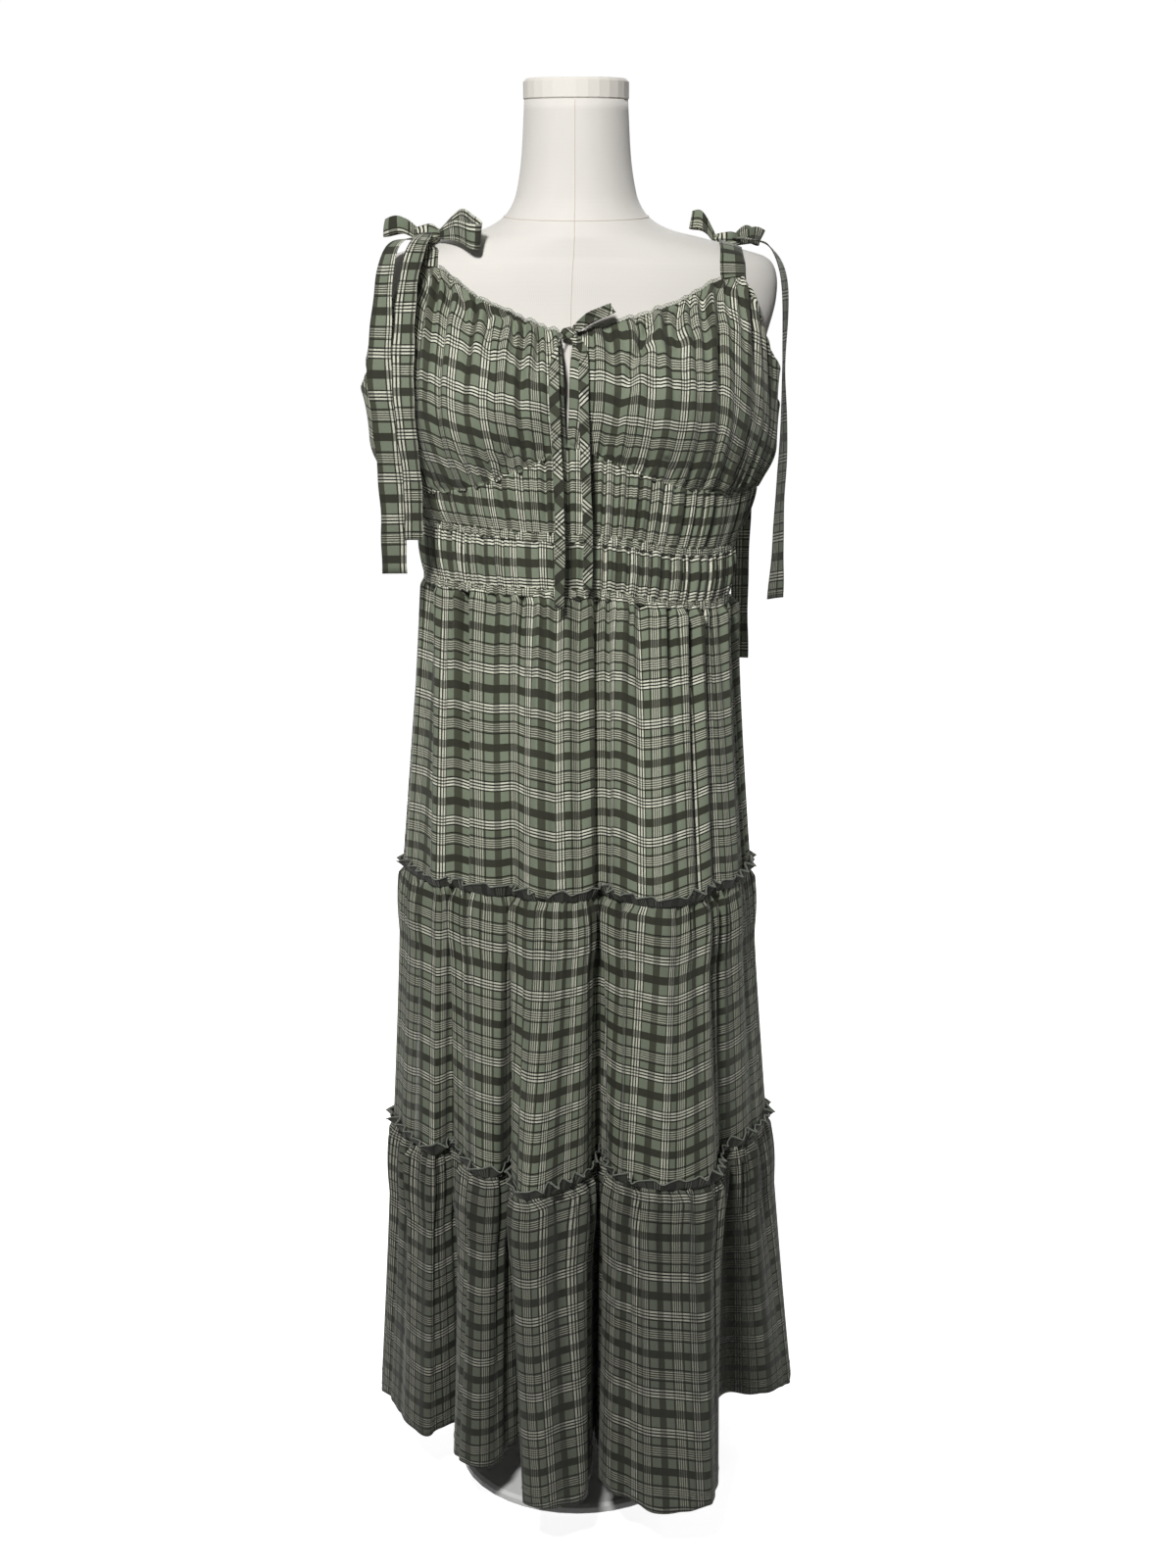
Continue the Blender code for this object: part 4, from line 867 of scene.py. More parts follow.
# Stitches: rows of short threads that lie on the cloth.
def stitches(name, line, outward, paint, pitch=0.0030, long=0.0021, radius=0.00028):
    """One mesh of short stitches along a line of points, standing just off the cloth."""
    line, outward = np.asarray(line), np.asarray(outward)
    run = run_of(line)
    points, faces = [], []
    for at in np.arange(pitch, run[-1] - pitch, pitch):
        ends = []
        for place in (at, at + long):
            here = np.array([np.interp(place, run, line[:, k]) for k in range(3)])
            off = np.array([np.interp(place, run, outward[:, k]) for k in range(3)])
            ends.append(here + off * radius)
        along = ends[1] - ends[0]
        along /= np.linalg.norm(along)
        off /= np.linalg.norm(off)
        side = np.cross(along, off)
        base = len(points)
        for end in ends:
            for a, b in ((1, 0), (0, 1), (-1, 0), (0, -1)):
                points.append(end + radius * (side * a + off * b))
        for k in range(4):
            faces.append((base + k, base + (k + 1) % 4, base + 4 + (k + 1) % 4, base + 4 + k))
        faces.append((base + 3, base + 2, base + 1, base))
        faces.append((base + 4, base + 5, base + 6, base + 7))
    return cloth_mesh(name, points, faces, np.zeros((len(points), 2)), paint)


def outward_of(points):
    """Unit vectors out of the cloth at a row of points."""
    normals = plan_normals(points[:, :2], False)
    return np.column_stack((normals, np.zeros(len(points))))


for name, points, uvs in SEWN:
    if name.startswith("tier_3"):
        length = uvs[-1, 0, 1]
        row = int(np.argmin(np.abs(uvs[:, 0, 1] - (length - HEM_TURN))))
        line = points[row]
        stitches(f"{name}_hem_stitches", line, outward_of(line), THREAD_PAINT)


# The frilled headings.
FRILL_STEP = 0.0011
# The widest gap that matters, and the gap from which a frill stands out in full.
FAR = 0.05
FRILL_ROOM = 0.030
# The radius of the overlock thread on a frill's free edge.
EDGE_THREAD = 0.00075


def frill(level, half):
    """A frilled heading over half of a seam, with its overlocked free edge."""
    first, last = HALVES[half]
    whole = spline_at(ROWS[level], np.linspace(0, LOOP, 1500)[:-1])
    marks = marks_between(ROWS[level], first, last, FRILL_STEP)
    plan = spline_at(ROWS[level], marks)
    normals = plan_normals(plan, False)
    run = run_of(plan)
    draw = np.random.default_rng(40 + level * 2 + len(half))
    bend = sum(
        draw.uniform(0.5, 1.2) / k * np.sin(run * draw.uniform(10, 60) + draw.uniform(0, 6))
        for k in (1, 2, 3, 4)
    )
    phase = 2 * np.pi * run / FRILL_PITCH + bend * 1.7
    wave = np.sin(phase + 0.6 * np.sin(phase))
    swell = 0.80 + 0.40 * np.sin(run * 61 + 1.0) + 0.25 * np.sin(run * 143)
    # How near the next fold lies in front of each point, so that the frill keeps clear of it.
    near = []
    a, b = whole, np.roll(whole, -1, axis=0)
    side = b - a
    for at, normal in zip(plan, normals):
        cross = normal[0] * side[:, 1] - normal[1] * side[:, 0]
        cross = np.where(np.abs(cross) < 1e-12, 1e-12, cross)
        gap = a - at
        along = (gap[:, 0] * side[:, 1] - gap[:, 1] * side[:, 0]) / cross
        share = (gap[:, 0] * normal[1] - gap[:, 1] * normal[0]) / cross
        hit = (share >= 0) & (share <= 1) & (along > 0.0015)
        near.append(min(FAR, along[hit].min()) if hit.any() else FAR)
    fit = np.clip(np.array(near) / FRILL_ROOM, 0.12, 1.0)
    fit = averaged(fit, 10)
    points, uvs = [], []
    along = np.column_stack((-normals[:, 1], normals[:, 0]))
    for s in np.linspace(0, 1, 8)[::-1]:
        out = 0.0016 + (FRILL_OUT * s + FRILL_WAVE * wave * swell * s**0.8) * fit
        rise = FRILL_HEIGHT * s * (1 + 0.10 * np.sin(run * 47)) - FRILL_DIP * wave * swell * s * s
        sway = FRILL_SWAY * np.cos(phase) * swell * s * s * fit
        place = plan + normals * out[:, None] + along * sway[:, None]
        points.append(np.column_stack((place, LEVEL_Z[level] - 0.001 + rise)))
        uvs.append(np.column_stack((run * 1.3, np.full(len(run), (1 - s) * FRILL_HEIGHT))))
    return np.array(points), np.array(uvs), run


for level in (1, 2):
    for half in ("front", "back"):
        points, uvs, run = frill(level, half)
        node = f"tier_{level + 1}_{half}_frill"
        piece = cloth_grid(f"{node}_cloth", points, uvs, FRILL_PAINT, CLOTH)
        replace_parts(piece, node)
        edge = points[0] + (0, 0, 0.0002)
        tube(f"{node}_overlock", edge, EDGE_THREAD, OVERLOCK_PAINT, 6)


# The bodice.
def side_sign(side):
    """The sign of x on a side."""
    return 1.0 if side == "right" else -1.0


def form_row(z):
    """Half width, front depth, back depth and squareness of the form at a height."""
    heights = [row[0] for row in FORM_SECTIONS]
    return [np.interp(z, heights, [row[k] for row in FORM_SECTIONS]) for k in (1, 2, 3, 4)]


def form_front(x, z):
    """How far forward the form reaches at x and z, as a y value."""
    half, front, _, square = form_row(z)
    share = min(abs(x) / half, 0.999)
    return -front * (1 - share**square) ** (1 / square)


FORM_HEIGHTS = np.arange(1.51, 1.31, -0.0001)
FORM_SHAPE = np.array(form_row(FORM_HEIGHTS))


def form_top(x, y):
    """Height of the form's upper surface over x and y."""
    half, front, back, square = FORM_SHAPE
    deep = front if y < 0 else back
    inside = (abs(x) / half) ** square + (abs(y) / deep) ** square < 1
    return float(FORM_HEIGHTS[np.argmax(inside)]) if inside.any() else 1.31


def under_point(row, side):
    """A point of the seam under the bust."""
    return (side_sign(side) * row[1], row[2], row[3])


def full_point(row, side):
    """A point of the bodice where it stands out most."""
    x = row[4] + (0.006 if side == "left" and row[0] in ("armhole", "side") else 0.0)
    return (side_sign(side) * x, row[5], row[6])


def top_point(name, side):
    """A point of the bodice's top edge."""
    for row in BODICE_TOP:
        if row[0] == name:
            x, z = (row[1], row[2]) if side == "right" else (row[3], row[4])
            return (x, form_front(x, z) - WALL - row[5], z)
    for row in BODICE_TOP_BACK:
        if row[0] == name:
            return (row[1] if side == "right" else row[2], row[3], row[4])


def bodice_columns(side, first, last):
    """The lower, fullest and top points of the columns from first to last."""
    names = [row[0] for row in BODICE_RING]
    rows = BODICE_RING[names.index(first) : names.index(last) + 1]
    return [(under_point(r, side), full_point(r, side), top_point(r[0], side)) for r in rows]


def back_columns():
    """The columns of the back, from its right armhole to its left one."""
    right = bodice_columns("right", "armhole", "centre_back")
    left = bodice_columns("left", "armhole", "centre_back")
    return right + list(reversed(left[:-1]))


def front_under_rows():
    """The seam under the bust, from the left back of the armhole to the right one."""
    right = [under_point(r, "right") for r in BODICE_RING[:9]]
    left = [under_point(r, "left") for r in BODICE_RING[1:9]]
    centre = (CENTRE_FRONT, right[0][1], right[0][2])
    return list(reversed(left)) + [centre] + right[1:]


def bodice_surface(under, full, top, drops):
    """Rows from the top edge down to the seam under the bust, for columns of points."""
    grid = []
    for t in drops:
        row = []
        for u, f, p in zip(under, full, top):
            up = (f[2] - u[2]) / (p[2] - u[2])
            share = 1 - t
            if share < up:
                s = share / up
                point = u + (f - u) * s
                point[:2] += (f - u)[:2] * (math.sin(math.pi / 2 * s) - s)
            else:
                s = (share - up) / (1 - up)
                point = f + (p - f) * s
                point[:2] -= (p - f)[:2] * (s - (1 - math.cos(math.pi / 2 * s)))
            row.append(point)
        grid.append(row)
    return np.array(grid)


def straightened(points, marks, span):
    """The points with those between marks span and span + 1 put on a straight line."""
    inside = (marks >= span) & (marks <= span + 1)
    a = points[np.argmin(np.abs(marks - span))].copy()
    b = points[np.argmin(np.abs(marks - span - 1))].copy()
    share = (marks - span)[inside]
    points[inside] = a + (b - a) * share[:, None]
    return points


def surface_normals(grid):
    """Unit vectors out of a grid of points, from its rows and columns."""
    down = np.gradient(grid, axis=0)
    along = np.gradient(grid, axis=1)
    normal = np.cross(down, along)
    return normal / np.linalg.norm(normal, axis=2)[..., None]


BODICE_STEP = 0.0021
# The front of the bodice lies before this y.
FRONT_Y = 0.03
# The bodice's rows as shares of its height, closer together at both edges.
BODICE_ROWS = np.concatenate(
    (np.linspace(0, 0.25, 20), np.linspace(0.27, 0.74, 18), np.linspace(0.76, 1, 20))
)
# Gathers of the bodice at its top edge and at its lower seam.
TOP_GATHERS = ((0.009, 0.0030, 0.022), (0.0155, 0.0058, 0.045), (0.029, 0.0062, 0.085))
SEAM_GATHERS = ((0.008, 0.0024, 0.014), (0.013, 0.0040, 0.028), (0.024, 0.0036, 0.050))


def grain(points):
    """Distance down the cloth's length at each point: its rows sink toward the viewer's right."""
    x, z = points[..., 0], points[..., 2]
    side = np.where(points[..., 1] < FRONT_Y, np.maximum(x - 0.146, 0.0), 0.0)
    return (1.36 - z) * 1.04 - np.where(x < 0, 0.25, 0.10) * x - 0.9 * side


# Main creases of the bodice, seen from the front. Columns: depth, width, then x and z of each point.
BODICE_CREASES = (
    (-0.0090, 0.0050, 0.075, 1.318, 0.058, 1.275, 0.033, 1.192),
    (0.0060, 0.0060, 0.086, 1.316, 0.072, 1.272, 0.050, 1.205),
    (-0.0063, 0.0040, 0.104, 1.330, 0.100, 1.290, 0.098, 1.262),
    (-0.0057, 0.0040, 0.124, 1.338, 0.128, 1.300, 0.129, 1.262),
    (-0.0067, 0.0050, 0.150, 1.352, 0.146, 1.260, 0.142, 1.180),
    (-0.0075, 0.0042, -0.087, 1.322, -0.086, 1.280, -0.078, 1.235),
    (-0.0060, 0.0040, -0.062, 1.306, -0.056, 1.268, -0.050, 1.225),
    (-0.0060, 0.0040, -0.112, 1.334, -0.108, 1.292, -0.104, 1.250),
    (-0.0067, 0.0045, -0.137, 1.350, -0.142, 1.300, -0.150, 1.245),
    (-0.0053, 0.0040, -0.036, 1.298, -0.040, 1.262, -0.044, 1.228),
    (-0.0028, 0.0055, -0.060, 1.190, -0.075, 1.160, -0.090, 1.150),
    (-0.0028, 0.0050, 0.090, 1.175, 0.100, 1.150, 0.112, 1.135),
)
SEAM_ROLL = ((0.0010, 0.0009), (0.0022, 0.0003), (0.0028, -0.0010))


def creases(grid, rows):
    """Height added at each grid point by the listed creases, each a soft trough or ridge."""
    x, z = grid[..., 0], grid[..., 2]
    total = np.zeros(x.shape)
    for row in rows:
        depth, width = row[:2]
        marks = np.array(row[2:]).reshape(-1, 2)
        lengths = np.linalg.norm(np.diff(marks, axis=0), axis=1)
        best = np.full(x.shape, 9.0)
        place = np.zeros(x.shape)
        start = 0.0
        for (ax, az), (bx, bz), long in zip(marks[:-1], marks[1:], lengths):
            t = np.clip(((x - ax) * (bx - ax) + (z - az) * (bz - az)) / long**2, 0, 1)
            away = np.hypot(x - ax - t * (bx - ax), z - az - t * (bz - az))
            closer = away < best
            best = np.where(closer, away, best)
            place = np.where(closer, start + t * long, place)
            start += long
        share = place / start
        spread = width * (0.7 + 0.8 * share)
        total += depth * np.exp(-((best / spread) ** 2)) * (1 - 0.75 * smooth(share))
    return np.where(grid[..., 1] < FRONT_Y, total, 0.0)


def bodice_piece(name, columns, under_rows, under_shift, cut, straight, seed, across_from, flip):
    """One bodice piece with gathers along its top edge and along its lower seam."""
    first, last = cut
    top_rows = [c[2] for c in columns]
    full_rows = [c[1] for c in columns]
    marks = marks_between(full_rows, first, last, BODICE_STEP, closed=False)
    top = spline_at(top_rows, marks, False)
    for span in straight:
        top = straightened(top, marks, span)
    full = spline_at(full_rows, marks, False)
    under_marks = under_shift + (marks if not flip else -marks)
    under = spline_at(under_rows, under_marks, False)
    grid = bodice_surface(under, full, top, BODICE_ROWS)
    run = run_of(full[:, :2])
    fall = walked(grid, 0)
    mean_fall = fall.mean(axis=1)
    ripple = gathers(run, mean_fall, TOP_GATHERS, seed)
    ripple += gathers(run, mean_fall[-1] - mean_fall, SEAM_GATHERS, seed + 1)
    near_top = smooth(mean_fall / 0.012) * 0.70 + 0.30
    near_seam = smooth((mean_fall[-1] - mean_fall) / 0.006) * 0.55 + 0.45
    out = ripple * off_ends(run, 0.008)[None, :] * near_top[:, None] * near_seam[:, None]
    if name != "bodice_back":
        out += creases(grid, BODICE_CREASES) * (near_top * near_seam)[:, None]
    normal = surface_normals(grid)
    if flip:
        normal = -normal
    grid = grid + normal * out[..., None]
    # The lower edge rolls over the seam.
    roll = [grid[-1] + normal[-1] * off + (0, 0, -down) for down, off in SEAM_ROLL]
    grid = np.vstack((grid, roll))
    fall = np.vstack((fall, fall[-1:] + 0.001, fall[-1:] + 0.002, fall[-1:] + 0.003))
    uvs = np.empty(grid.shape[:2] + (2,))
    long = walked(grid, 1)
    share = 0.5 * run[None, :] / run[-1] + 0.5 * long / long[:, -1:]
    uvs[..., 0] = across_from + (share if not flip else -share) * run[-1] * 1.25
    uvs[..., 1] = fall * 0.2 + grain(grid) * 0.8 if name == "bodice_back" else grain(grid)
    uvs[..., 1] += 0.8 * np.vstack((out, np.repeat(out[-1:], 3, axis=0)))
    if flip:
        grid, uvs = grid[:, ::-1], uvs[:, ::-1]
    piece = cloth_grid(f"{name}_cloth", grid, uvs, BODICE_PAINT)
    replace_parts(piece, name)
    return grid, marks


def front_columns(side):
    """The columns of one cup, which starts at the centre front."""
    columns = bodice_columns(side, "centre_front", "armhole_back")
    under, full, top = columns[0]
    edge = SEAM * side_sign(side)
    columns[0] = (
        (CENTRE_FRONT + edge, under[1], under[2]),
        (CENTRE_FRONT + edge * 8, full[1], full[2]),
        top,
    )
    return columns


# What follows the rows: the mark of the first one, the marks where the piece starts and ends,
# the stretches whose top edge is straight, a seed, where the plaid starts, and the direction.
FRONT = {}
for side in ("right", "left"):
    rows = front_under_rows()
    name, start, left = f"bodice_front_{side}", 0.004 * side_sign(side), side == "left"
    FRONT[side] = bodice_piece(
        name, front_columns(side), rows, 8, (0, 7), (4,), 200 + len(side), start, left
    )
back_rows = [c[0] for c in back_columns()]
BACK = bodice_piece(
    "bodice_back", back_columns(), back_rows, 0, (1, 11), (3, 8), 230, 0.31, False
)


# The shirred midriff.
def elastic_point(ring, x, y):
    """The point of an elasticated ring on the same bearing as x and y."""
    _, half, front, back, left_z, middle_z, right_z = ring
    deep = front if y < 0 else back
    scale = 1 / math.hypot(x / half, y / deep)
    x, y = x * scale, y * scale
    side_z = left_z if x < 0 else right_z
    return np.array((x, y, middle_z + (side_z - middle_z) * smooth(abs(x) / WAIST_RIGHT)))


# Gathers of the bands and of the casings, which don't fade, in the same columns as above.
BAND_GATHERS = ((0.0076, 0.0021, 9.0), (0.0122, 0.0034, 9.0), (0.021, 0.0024, 9.0))
CASING_WAVES = ((0.0066, 0.0011, 9.0), (0.0104, 0.0012, 9.0))
CASING_LIFTS = ((0.0091, 0.0009, 9.0),)
BAND_STEP = 0.0013
CASING_HEIGHT = 0.010
CASING_OUT = 0.0012


def band(name, upper, lower, narrow, seed, down_to):
    """A gathered band between two rings, with ripples from edge to edge."""
    run = run_of(upper[:, :2])
    steps = np.linspace(0, 1, 22)
    ripple = gathers(run, np.zeros(len(steps)), BAND_GATHERS, seed)
    slant = gathers(run + 0.004, np.zeros(len(steps)), BAND_GATHERS[1:], seed + 1)
    grid, heights = [], []
    for j, t in enumerate(steps):
        row = upper + (lower - upper) * t
        row[:, :2] *= 1 + narrow * math.sin(math.pi * t)
        hold = 0.45 + 0.55 * math.sin(math.pi * t) ** 0.6
        out = (ripple[j] * (1 - 0.5 * t) + slant[j] * 0.5 * t) * hold
        normals = plan_normals(row[:, :2], False)
        out = out * off_ends(run, SEAM_CALM)
        row[:, :2] += normals * out[:, None]
        grid.append(row)
        heights.append(out)
    grid = np.array(grid)
    uvs = np.empty(grid.shape[:2] + (2,))
    uvs[..., 0] = (run * 1.35)[None, :]
    uvs[..., 1] = down_to - (grid[..., 2] - grid[-1:, :, 2]) + 0.5 * np.array(heights)
    piece = cloth_grid(f"{name}_cloth", grid, uvs, BAND_PAINT)
    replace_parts(piece, name)


ELASTIC_LINES = {}
for half in ("front", "back"):
    rows, end = (front_under_rows(), 15) if half == "front" else (back_rows, 11)
    marks = marks_between(rows, 1, end, BAND_STEP, closed=False)
    under = spline_at(rows, marks, False)
    upper = np.array([elastic_point(ELASTIC_RINGS[0], x, y) for x, y, _ in under])
    waist = np.array([elastic_point(ELASTIC_RINGS[1], x, y) for x, y, _ in under])
    waist[:, 2] = waist_z(waist[:, 0])
    band(f"midriff_lower_{half}", upper, waist, 0.015, 320 + len(half), 0.125)
    start = under - (0, 0, 0.0006)
    band(f"midriff_upper_{half}", start, upper, 0.012, 300 + len(half), 0.064)
    ELASTIC_LINES[half] = (upper, waist)


def casing(name, line, seed):
    """A narrow gathered casing over an elastic, standing off the cloth on both edges."""
    run = run_of(line[:, :2])
    normals = plan_normals(line[:, :2], False)
    wave = gathers(run, np.zeros(1), CASING_WAVES, seed)[0]
    lift = gathers(run, np.zeros(1), CASING_LIFTS, seed + 3)[0]
    rows, uvs = [], []
    for s in np.linspace(0, 1, 9):
        round_off = math.sin(math.pi * s)
        off = 0.0007 + CASING_OUT * round_off + wave * (0.35 + 0.65 * abs(2 * s - 1))
        row = line.copy()
        row[:, :2] += normals * np.maximum(off, 0.0003)[:, None]
        row[:, 2] += CASING_HEIGHT * (0.5 - s) + lift
        rows.append(row)
        uvs.append(np.column_stack((run * 1.3, np.full(len(run), 0.05 + s * CASING_HEIGHT))))
    piece = cloth_grid(name, np.array(rows), np.array(uvs), BAND_PAINT)


for half in ("front", "back"):
    upper, waist = ELASTIC_LINES[half]
    casing(f"upper_elastic_casing_{half}", upper, 400 + len(half))
    casing(f"waist_elastic_casing_{half}", waist, 410 + len(half))


# The picot edge of the neckline, a narrow elastic casing.
def along_line(line, step):
    """The line resampled at even steps."""
    run = run_of(line)
    places = np.arange(0, run[-1], step)
    return np.column_stack([np.interp(places, run, line[:, k]) for k in range(3)])


# The neckline ends at these marks of the bodice's columns, where the straps start.
STRAP_MARK, BACK_STRAP_MARK = 4.0, 8.0
PICOT_SINK = (0, 0, 0.0004)
PICOT_STEP = 0.00045
PICOT_PITCH = 0.0036
PICOT_HEIGHT = 0.0018
PICOT_THREAD = 0.00042


def picot(name, line, outward):
    """Small loops of thread along an edge, as one wavy thread."""
    fine = along_line(line, PICOT_STEP)
    turn = np.arange(len(fine)) * PICOT_STEP / PICOT_PITCH * 2 * np.pi
    wavy = fine.copy()
    wavy[:, 2] += PICOT_HEIGHT + PICOT_HEIGHT * np.cos(turn)
    step = np.gradient(fine, axis=0)
    step /= np.linalg.norm(step, axis=1)[:, None]
    wavy += step * (0.0011 * np.sin(2 * turn))[:, None]
    wavy += np.array(outward)[None, :] * 0.0002
    tube(name, wavy, PICOT_THREAD, PICOT_PAINT, 5)


for side in ("right", "left"):
    grid, marks = FRONT[side]
    top = grid[0] if side == "right" else grid[0][::-1]
    neck = top[marks <= STRAP_MARK]
    picot(f"neckline_picot_{side}", neck - PICOT_SINK, (0, -1, 0))
grid, marks = BACK
neck = grid[0][(marks >= STRAP_MARK) & (marks <= BACK_STRAP_MARK)]
picot("neckline_picot_back", neck - PICOT_SINK, (0, 1, 0))


# The ties.
TIE_CLOTH = 0.0009
TIE_PUCKER = 0.0012
LOOP_PUCKER = 0.0020
STRAP_PUCKER = 0.0003
KNOT_HOLD = 0.0015


def finer(path, per):
    """The path rows joined by a smooth curve, per steps between rows."""
    rows = np.array(path, float)
    made = []
    for i in range(len(rows) - 1):
        first, last = rows[i], rows[i + 1]
        before = rows[i - 1] if i else 2 * first - last
        after = rows[i + 2] if i + 2 < len(rows) else 2 * last - first
        for k in range(per):
            made.append(hermite(first, (last - before) * 0.5, last, (after - first) * 0.5, k / per))
    made.append(rows[-1])
    return np.array(made)


def ribbon(node, rows, paint, seed, pucker):
    """A flat tie: a thin closed strip with a slight cup and puckers."""
    rows = np.array(rows, float)
    centre, half = rows[:, :3], rows[:, 3:6]
    along = np.gradient(centre, axis=0)
    along /= np.linalg.norm(along, axis=1)[:, None]
    out = np.cross(along, half)
    out /= np.linalg.norm(out, axis=1)[:, None]
    run = run_of(centre)
    wide = float(np.linalg.norm(half, axis=1).mean()) * 2
    draw = np.random.default_rng(seed)
    offset = np.array((seed * 0.0197, seed * 0.0433)) % (2 * HALF_SETT)
    grid, uvs = [], []
    uneven = 0.05 * np.sin(run * draw.uniform(25, 45) + draw.uniform(0, 6))
    uneven += 0.04 * np.sin(run * draw.uniform(80, 140))
    shapes = [(draw.uniform(18, 60), draw.uniform(0, TURN), draw.uniform(-1.5, 1.5)) for _ in range(5)]
    for a in np.linspace(-1, 1, 13):
        bump = sum(np.sin(run * f + p + a * s) for f, p, s in shapes) * pucker * 0.5
        cup = 0.0006 * (a * a - 0.4)
        grid.append(centre + half * (a * (1 + uneven))[:, None] + out * (bump + cup)[:, None])
        uvs.append(np.column_stack((np.full(len(run), (a + 1) / 2 * wide), run)) + offset)
    grid = np.array(grid).transpose(1, 0, 2)
    uvs = np.array(uvs).transpose(1, 0, 2)
    piece = cloth_grid(f"{node}_cloth", grid, uvs, paint, TIE_CLOTH)
    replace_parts(piece, node)


def knot_centre(side):
    """The middle of a shoulder's knot, which lies just over the form."""
    x, y, _, _, high, clear = KNOTS[side]
    return np.array((x, y, form_top(x, y) + high + clear))


def off_knot(centre, radii, row):
    """The point just inside a knot from which a tie of the row's width leaves toward the row."""
    step = np.array(row[:3], float) - centre
    wide = np.array(row[3:], float)
    wide /= np.linalg.norm(wide)
    step -= wide * (step @ wide)
    step /= np.linalg.norm(step)
    reach = 1 / math.sqrt(sum((s / r) ** 2 for s, r in zip(step, radii)))
    return centre + step * (reach - KNOT_HOLD)


def tie(node, centre, radii, path, paint, seed, loop):
    """A loop or a free end of a bow, which starts in the knot."""
    rows = [list(row) for row in path]
    rows[0][:3] = off_knot(centre, radii, rows[0])
    if loop:
        rows[-1][:3] = off_knot(centre, radii, rows[-1])
    ribbon(node, finer(rows, 10), paint, seed, LOOP_PUCKER if loop else TIE_PUCKER)


def knot(node, centre, radii, paint, seed):
    """A knot: a rounded form with the pressed folds of a pulled tie."""
    rows, columns = 26, 40
    twist = np.random.default_rng(seed).uniform(0, TURN)
    points, uvs = [], []
    for j in range(rows):
        v = math.pi * (j + 0.5) / rows
        for i in range(columns):
            u = 2 * math.pi * i / columns
            fold = 1 + 0.10 * math.sin(3 * u + twist + 2.2 * math.cos(v))
            fold += 0.05 * math.sin(7 * u + 3 * v)
            pinch = 1 - 0.12 * math.exp(-((v - math.pi / 2) / 0.35) ** 2) * math.cos(u) ** 2
            direction = np.array((math.cos(v), math.sin(v) * math.cos(u), math.sin(v) * math.sin(u)))
            points.append(centre + direction * radii * fold * pinch)
            uvs.append((u * 0.008, v * 0.010))
    faces = grid_faces(rows, columns, closed=True)
    low = (rows - 1) * columns
    for k in range(columns):
        after = (k + 1) % columns
        faces += [[k, after, len(points)], [low + after, low + k, len(points) + 1]]
    points += [np.mean(points[:columns], axis=0), np.mean(points[-columns:], axis=0)]
    uvs += [(0, 0), (0, 0.03)]
    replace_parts(cloth_mesh(f"{node}_cloth", points, faces, uvs, paint, True), node)


def over_shoulder(x, y):
    """Height of the middle of a tie that lies on the form over x and y."""
    slope = (form_top(x, y + 0.002) - form_top(x, y - 0.002)) / 0.004
    slope = min(abs(slope), 3.0)
    return form_top(x, y) + (SEAM + TIE_WALL / 2 + STRAP_CLEAR) * math.sqrt(1 + slope**2)


def strap_rows(side, half):
    """A tie from the bodice edge over the shoulder and under the knot, lying on the form."""
    centre = knot_centre(side)
    front = half == "front"
    names = ("strap_inner", "strap_outer") if front else ("strap_back_inner", "strap_back_outer")
    a, b = (np.array(top_point(name, side)) for name in names)
    if side == "left":
        a, b = b, a
    wide = (b - a) * 0.46
    outward = -1 if front else 1
    foot = (a + b) / 2 + np.array((0, -outward * (WALL - TIE_WALL) / 2, 0))
    start = foot + np.array((0, -outward * TIE_WALL / 2, 0.0009))
    rows = [(*start, *wide)]
    end_y = centre[1] + outward * 0.003
    steps = round((abs(end_y - start[1]) + centre[2] - start[2]) / STRAP_STEP)
    for k in range(1, steps + 1):
        t = (k / steps) ** 1.5
        x = start[0] + (centre[0] - start[0]) * t
        y = start[1] + (end_y - start[1]) * t
        narrow = 1 - 0.5 * float(smooth((t - 0.4) / 0.6))
        over = wide[0] * narrow
        along = wide[1] * (1 - float(smooth(t / 0.5)))
        tops = [over_shoulder(x + s * over, y + s * along) for s in (-1, 0, 1)]
        tops = [max(top, max(tops) - 0.006) for top in tops]
        tilt = (tops[2] - tops[0]) / 2 * float(smooth(t / 0.2))
        z = max(tops[1], (tops[0] + tops[2]) / 2, start[2] + 0.0015 * min(k, 4))
        rows.append((x, y, z, over, along, tilt))
    return rows


seed = 500
for side in ("left", "right"):
    knot(f"shoulder_knot_{side}", knot_centre(side), np.array(KNOTS[side][2:5]) * 1.12, TIE_PAINT, seed)
    for half in ("front", "back"):
        seed += 1
        node = f"shoulder_tie_{side}_{half}"
        ribbon(node, finer(strap_rows(side, half), 4), TIE_PAINT, seed, STRAP_PUCKER)
for name, path in BOWS.items():
    seed += 1
    side = name.split("_")[0]
    tie(f"bow_{name}", knot_centre(side), KNOTS[side][2:5], path, TIE_PAINT, seed, "loop" in name)
keyhole_centre = np.array(KEYHOLE_KNOT[:3])
knot("keyhole_knot", keyhole_centre, np.array(KEYHOLE_KNOT[3:]) * 1.05, BIAS_PAINT, 560)
for name, path in KEYHOLE_TIES.items():
    seed += 1
    tie(f"keyhole_tie_{name}", keyhole_centre, KEYHOLE_KNOT[3:], path, BIAS_PAINT, seed, name == "loop")


# The dress form, its cap and its stand.
def form_point(mark, angle):
    """The point of the form's cover at a row mark and a bearing from the front."""
    z, half, front, back, square = spline_at(FORM_SECTIONS, [mark], False)[0]
    side, ahead = math.sin(angle), math.cos(angle)
    x = half * math.copysign(abs(side) ** (2 / square), side)
    y = -(front if ahead > 0 else back) * math.copysign(abs(ahead) ** (2 / square), ahead)
    return (x, y, z)


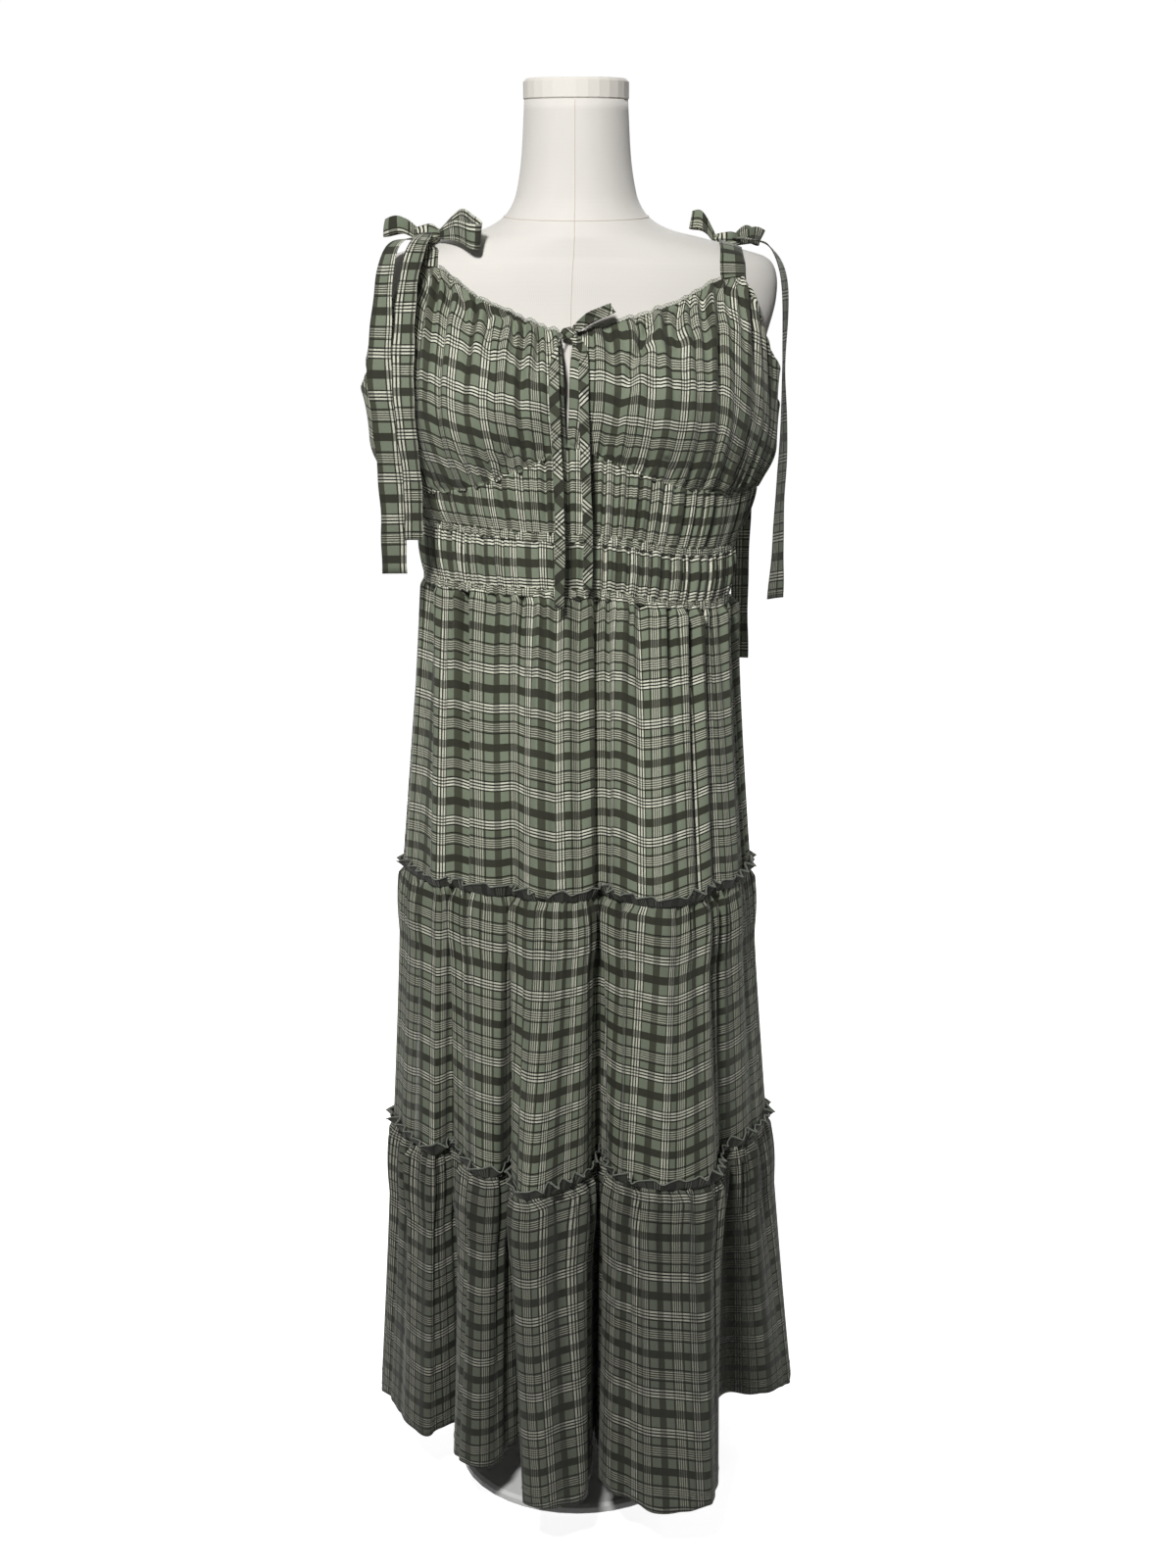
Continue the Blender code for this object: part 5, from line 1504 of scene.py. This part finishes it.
COVER_COLUMNS, COVER_ROWS = 130, 150
COVER_THREAD, NECK_THREAD = 0.0005, 0.0007
points, uvs = [], []
for mark in np.linspace(0, len(FORM_SECTIONS) - 1, COVER_ROWS):
    for i in reversed(range(COVER_COLUMNS)):
        angle = 2 * math.pi * i / COVER_COLUMNS
        points.append(form_point(mark, angle))
        uvs.append((angle * 0.14, points[-1][2]))
faces = grid_faces(COVER_ROWS, COVER_COLUMNS, closed=True)
faces.append(list(range(COVER_COLUMNS)))
faces.append(list(range(len(points) - COVER_COLUMNS, len(points)))[::-1])
cover = cloth_mesh("form_cover", points, faces, uvs, COVER_PAINT, True)
for polygon in cover.data.polygons:
    polygon.use_smooth = len(polygon.vertices) == 4
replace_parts(cover, "form_torso")


def height_mark(z):
    """The row mark of the form at a height."""
    heights = [row[0] for row in FORM_SECTIONS]
    return float(np.interp(z, heights, range(len(heights))))


front_marks = np.linspace(height_mark(1.05), height_mark(FORM_TOP_Z - 0.001), 160)
for name, angle in (("cover_seam_front", -0.02), ("cover_seam_back", math.pi)):
    line = [form_point(mark, angle) for mark in front_marks]
    tube(name, line, COVER_THREAD, SEAM_PAINT, 6)
# The seam round the base of the neck is a little lower in front.
neck = []
for angle in np.arange(160) * 2 * math.pi / 160:
    neck.append(form_point(height_mark(1.4105 - 0.0045 * math.cos(angle)), angle))
tube("cover_seam_neck", neck, NECK_THREAD, SEAM_PAINT, 6, closed=True)

HARD_PAINT = {"form_neck_cap": CAP_PAINT, "stand_pole": STAND_PAINT, "stand_base": STAND_PAINT}
for node, paint in HARD_PAINT.items():
    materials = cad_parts[node].data.materials
    materials.clear()
    materials.append(paint)


# Floor, light and camera.
def backdrop():
    """A pale round floor that curves up into a wall on all sides."""
    turns = np.linspace(0, math.pi / 2, 16)
    bends = [(6.0 + 2.0 * math.sin(turn), 2.0 - 2.0 * math.cos(turn)) for turn in turns]
    profile = [(0.0, 0.0), (2.0, 0.0), (4.0, 0.0), *bends, (8.0, 9.0)]
    sides = 96
    points = [(0.0, 0.0, 0.0)]
    for reach, z in profile[1:]:
        for k in range(sides):
            angle = 2 * math.pi * k / sides
            points.append((reach * math.cos(angle), reach * math.sin(angle), z))
    faces = [(0, 1 + k, 1 + (k + 1) % sides) for k in range(sides)]
    for j in range(len(profile) - 2):
        low, high = 1 + j * sides, 1 + (j + 1) * sides
        for k in range(sides):
            after = (k + 1) % sides
            faces.append((low + k, high + k, high + after, low + after))
    mesh = bpy.data.meshes.new("backdrop")
    mesh.from_pydata(points, [], faces)
    mesh.polygons.foreach_set("use_smooth", [True] * len(faces))
    obj = placed(bpy.data.objects.new("backdrop", mesh))
    paint = plain("backdrop_paper", (248, 248, 247), 0.9, 3.0, 0.0, 0.01)
    shader = paint.node_tree.nodes["Principled BSDF"]
    shader.inputs["Emission Color"].default_value = (1.0, 1.0, 1.0, 1.0)
    shader.inputs["Emission Strength"].default_value = 0.90
    mesh.materials.append(paint)
    # The paper looks white but throws no light up into the folds.
    obj.visible_diffuse = False


def aimed(obj, place, aim):
    """Puts an object at a place and turns its -Z axis to a point."""
    step = np.array(aim, float) - np.array(place, float)
    obj.location = place
    tilt = math.atan2(math.hypot(step[0], step[1]), -step[2])
    obj.rotation_euler = (tilt, 0, math.atan2(step[1], step[0]) - math.pi / 2)


def lamp(name, place, aim, size, power):
    """A soft round light."""
    light = bpy.data.lights.new(name, "AREA")
    light.shape = "DISK"
    light.size = size
    light.energy = power
    aimed(placed(bpy.data.objects.new(name, light)), place, aim)


backdrop()
lamp("key", (-0.50, -2.25, 2.65), (0, 0, 1.3), 0.4, 72)
lamp("side_left", (-2.4, 1.9, 2.0), (0, 0, 1.0), 1.2, 12)
lamp("side_right", (2.4, 1.9, 2.0), (0, 0, 1.0), 1.2, 12)
lamp("back", (0.4, 2.8, 2.4), (0, 0, 1.0), 1.4, 34)
world = bpy.data.worlds.new("studio")
world.use_nodes = True
sky = world.node_tree.nodes["Background"]
sky.inputs["Color"].default_value = (1.0, 1.0, 1.0, 1.0)
sky.inputs["Strength"].default_value = 0.042
bpy.context.scene.world = world
bpy.context.scene.view_settings.view_transform = "Standard"

camera_data = bpy.data.cameras.new("camera")
camera_data.sensor_fit = "VERTICAL"
camera_data.sensor_height = 36.0
camera_data.lens = 52.3
camera = placed(bpy.data.objects.new("camera", camera_data))
camera.location = (0.012, -2.40, 1.43)
camera.rotation_euler = (math.radians(90 - 14.48), 0, 0)
bpy.context.scene.camera = camera
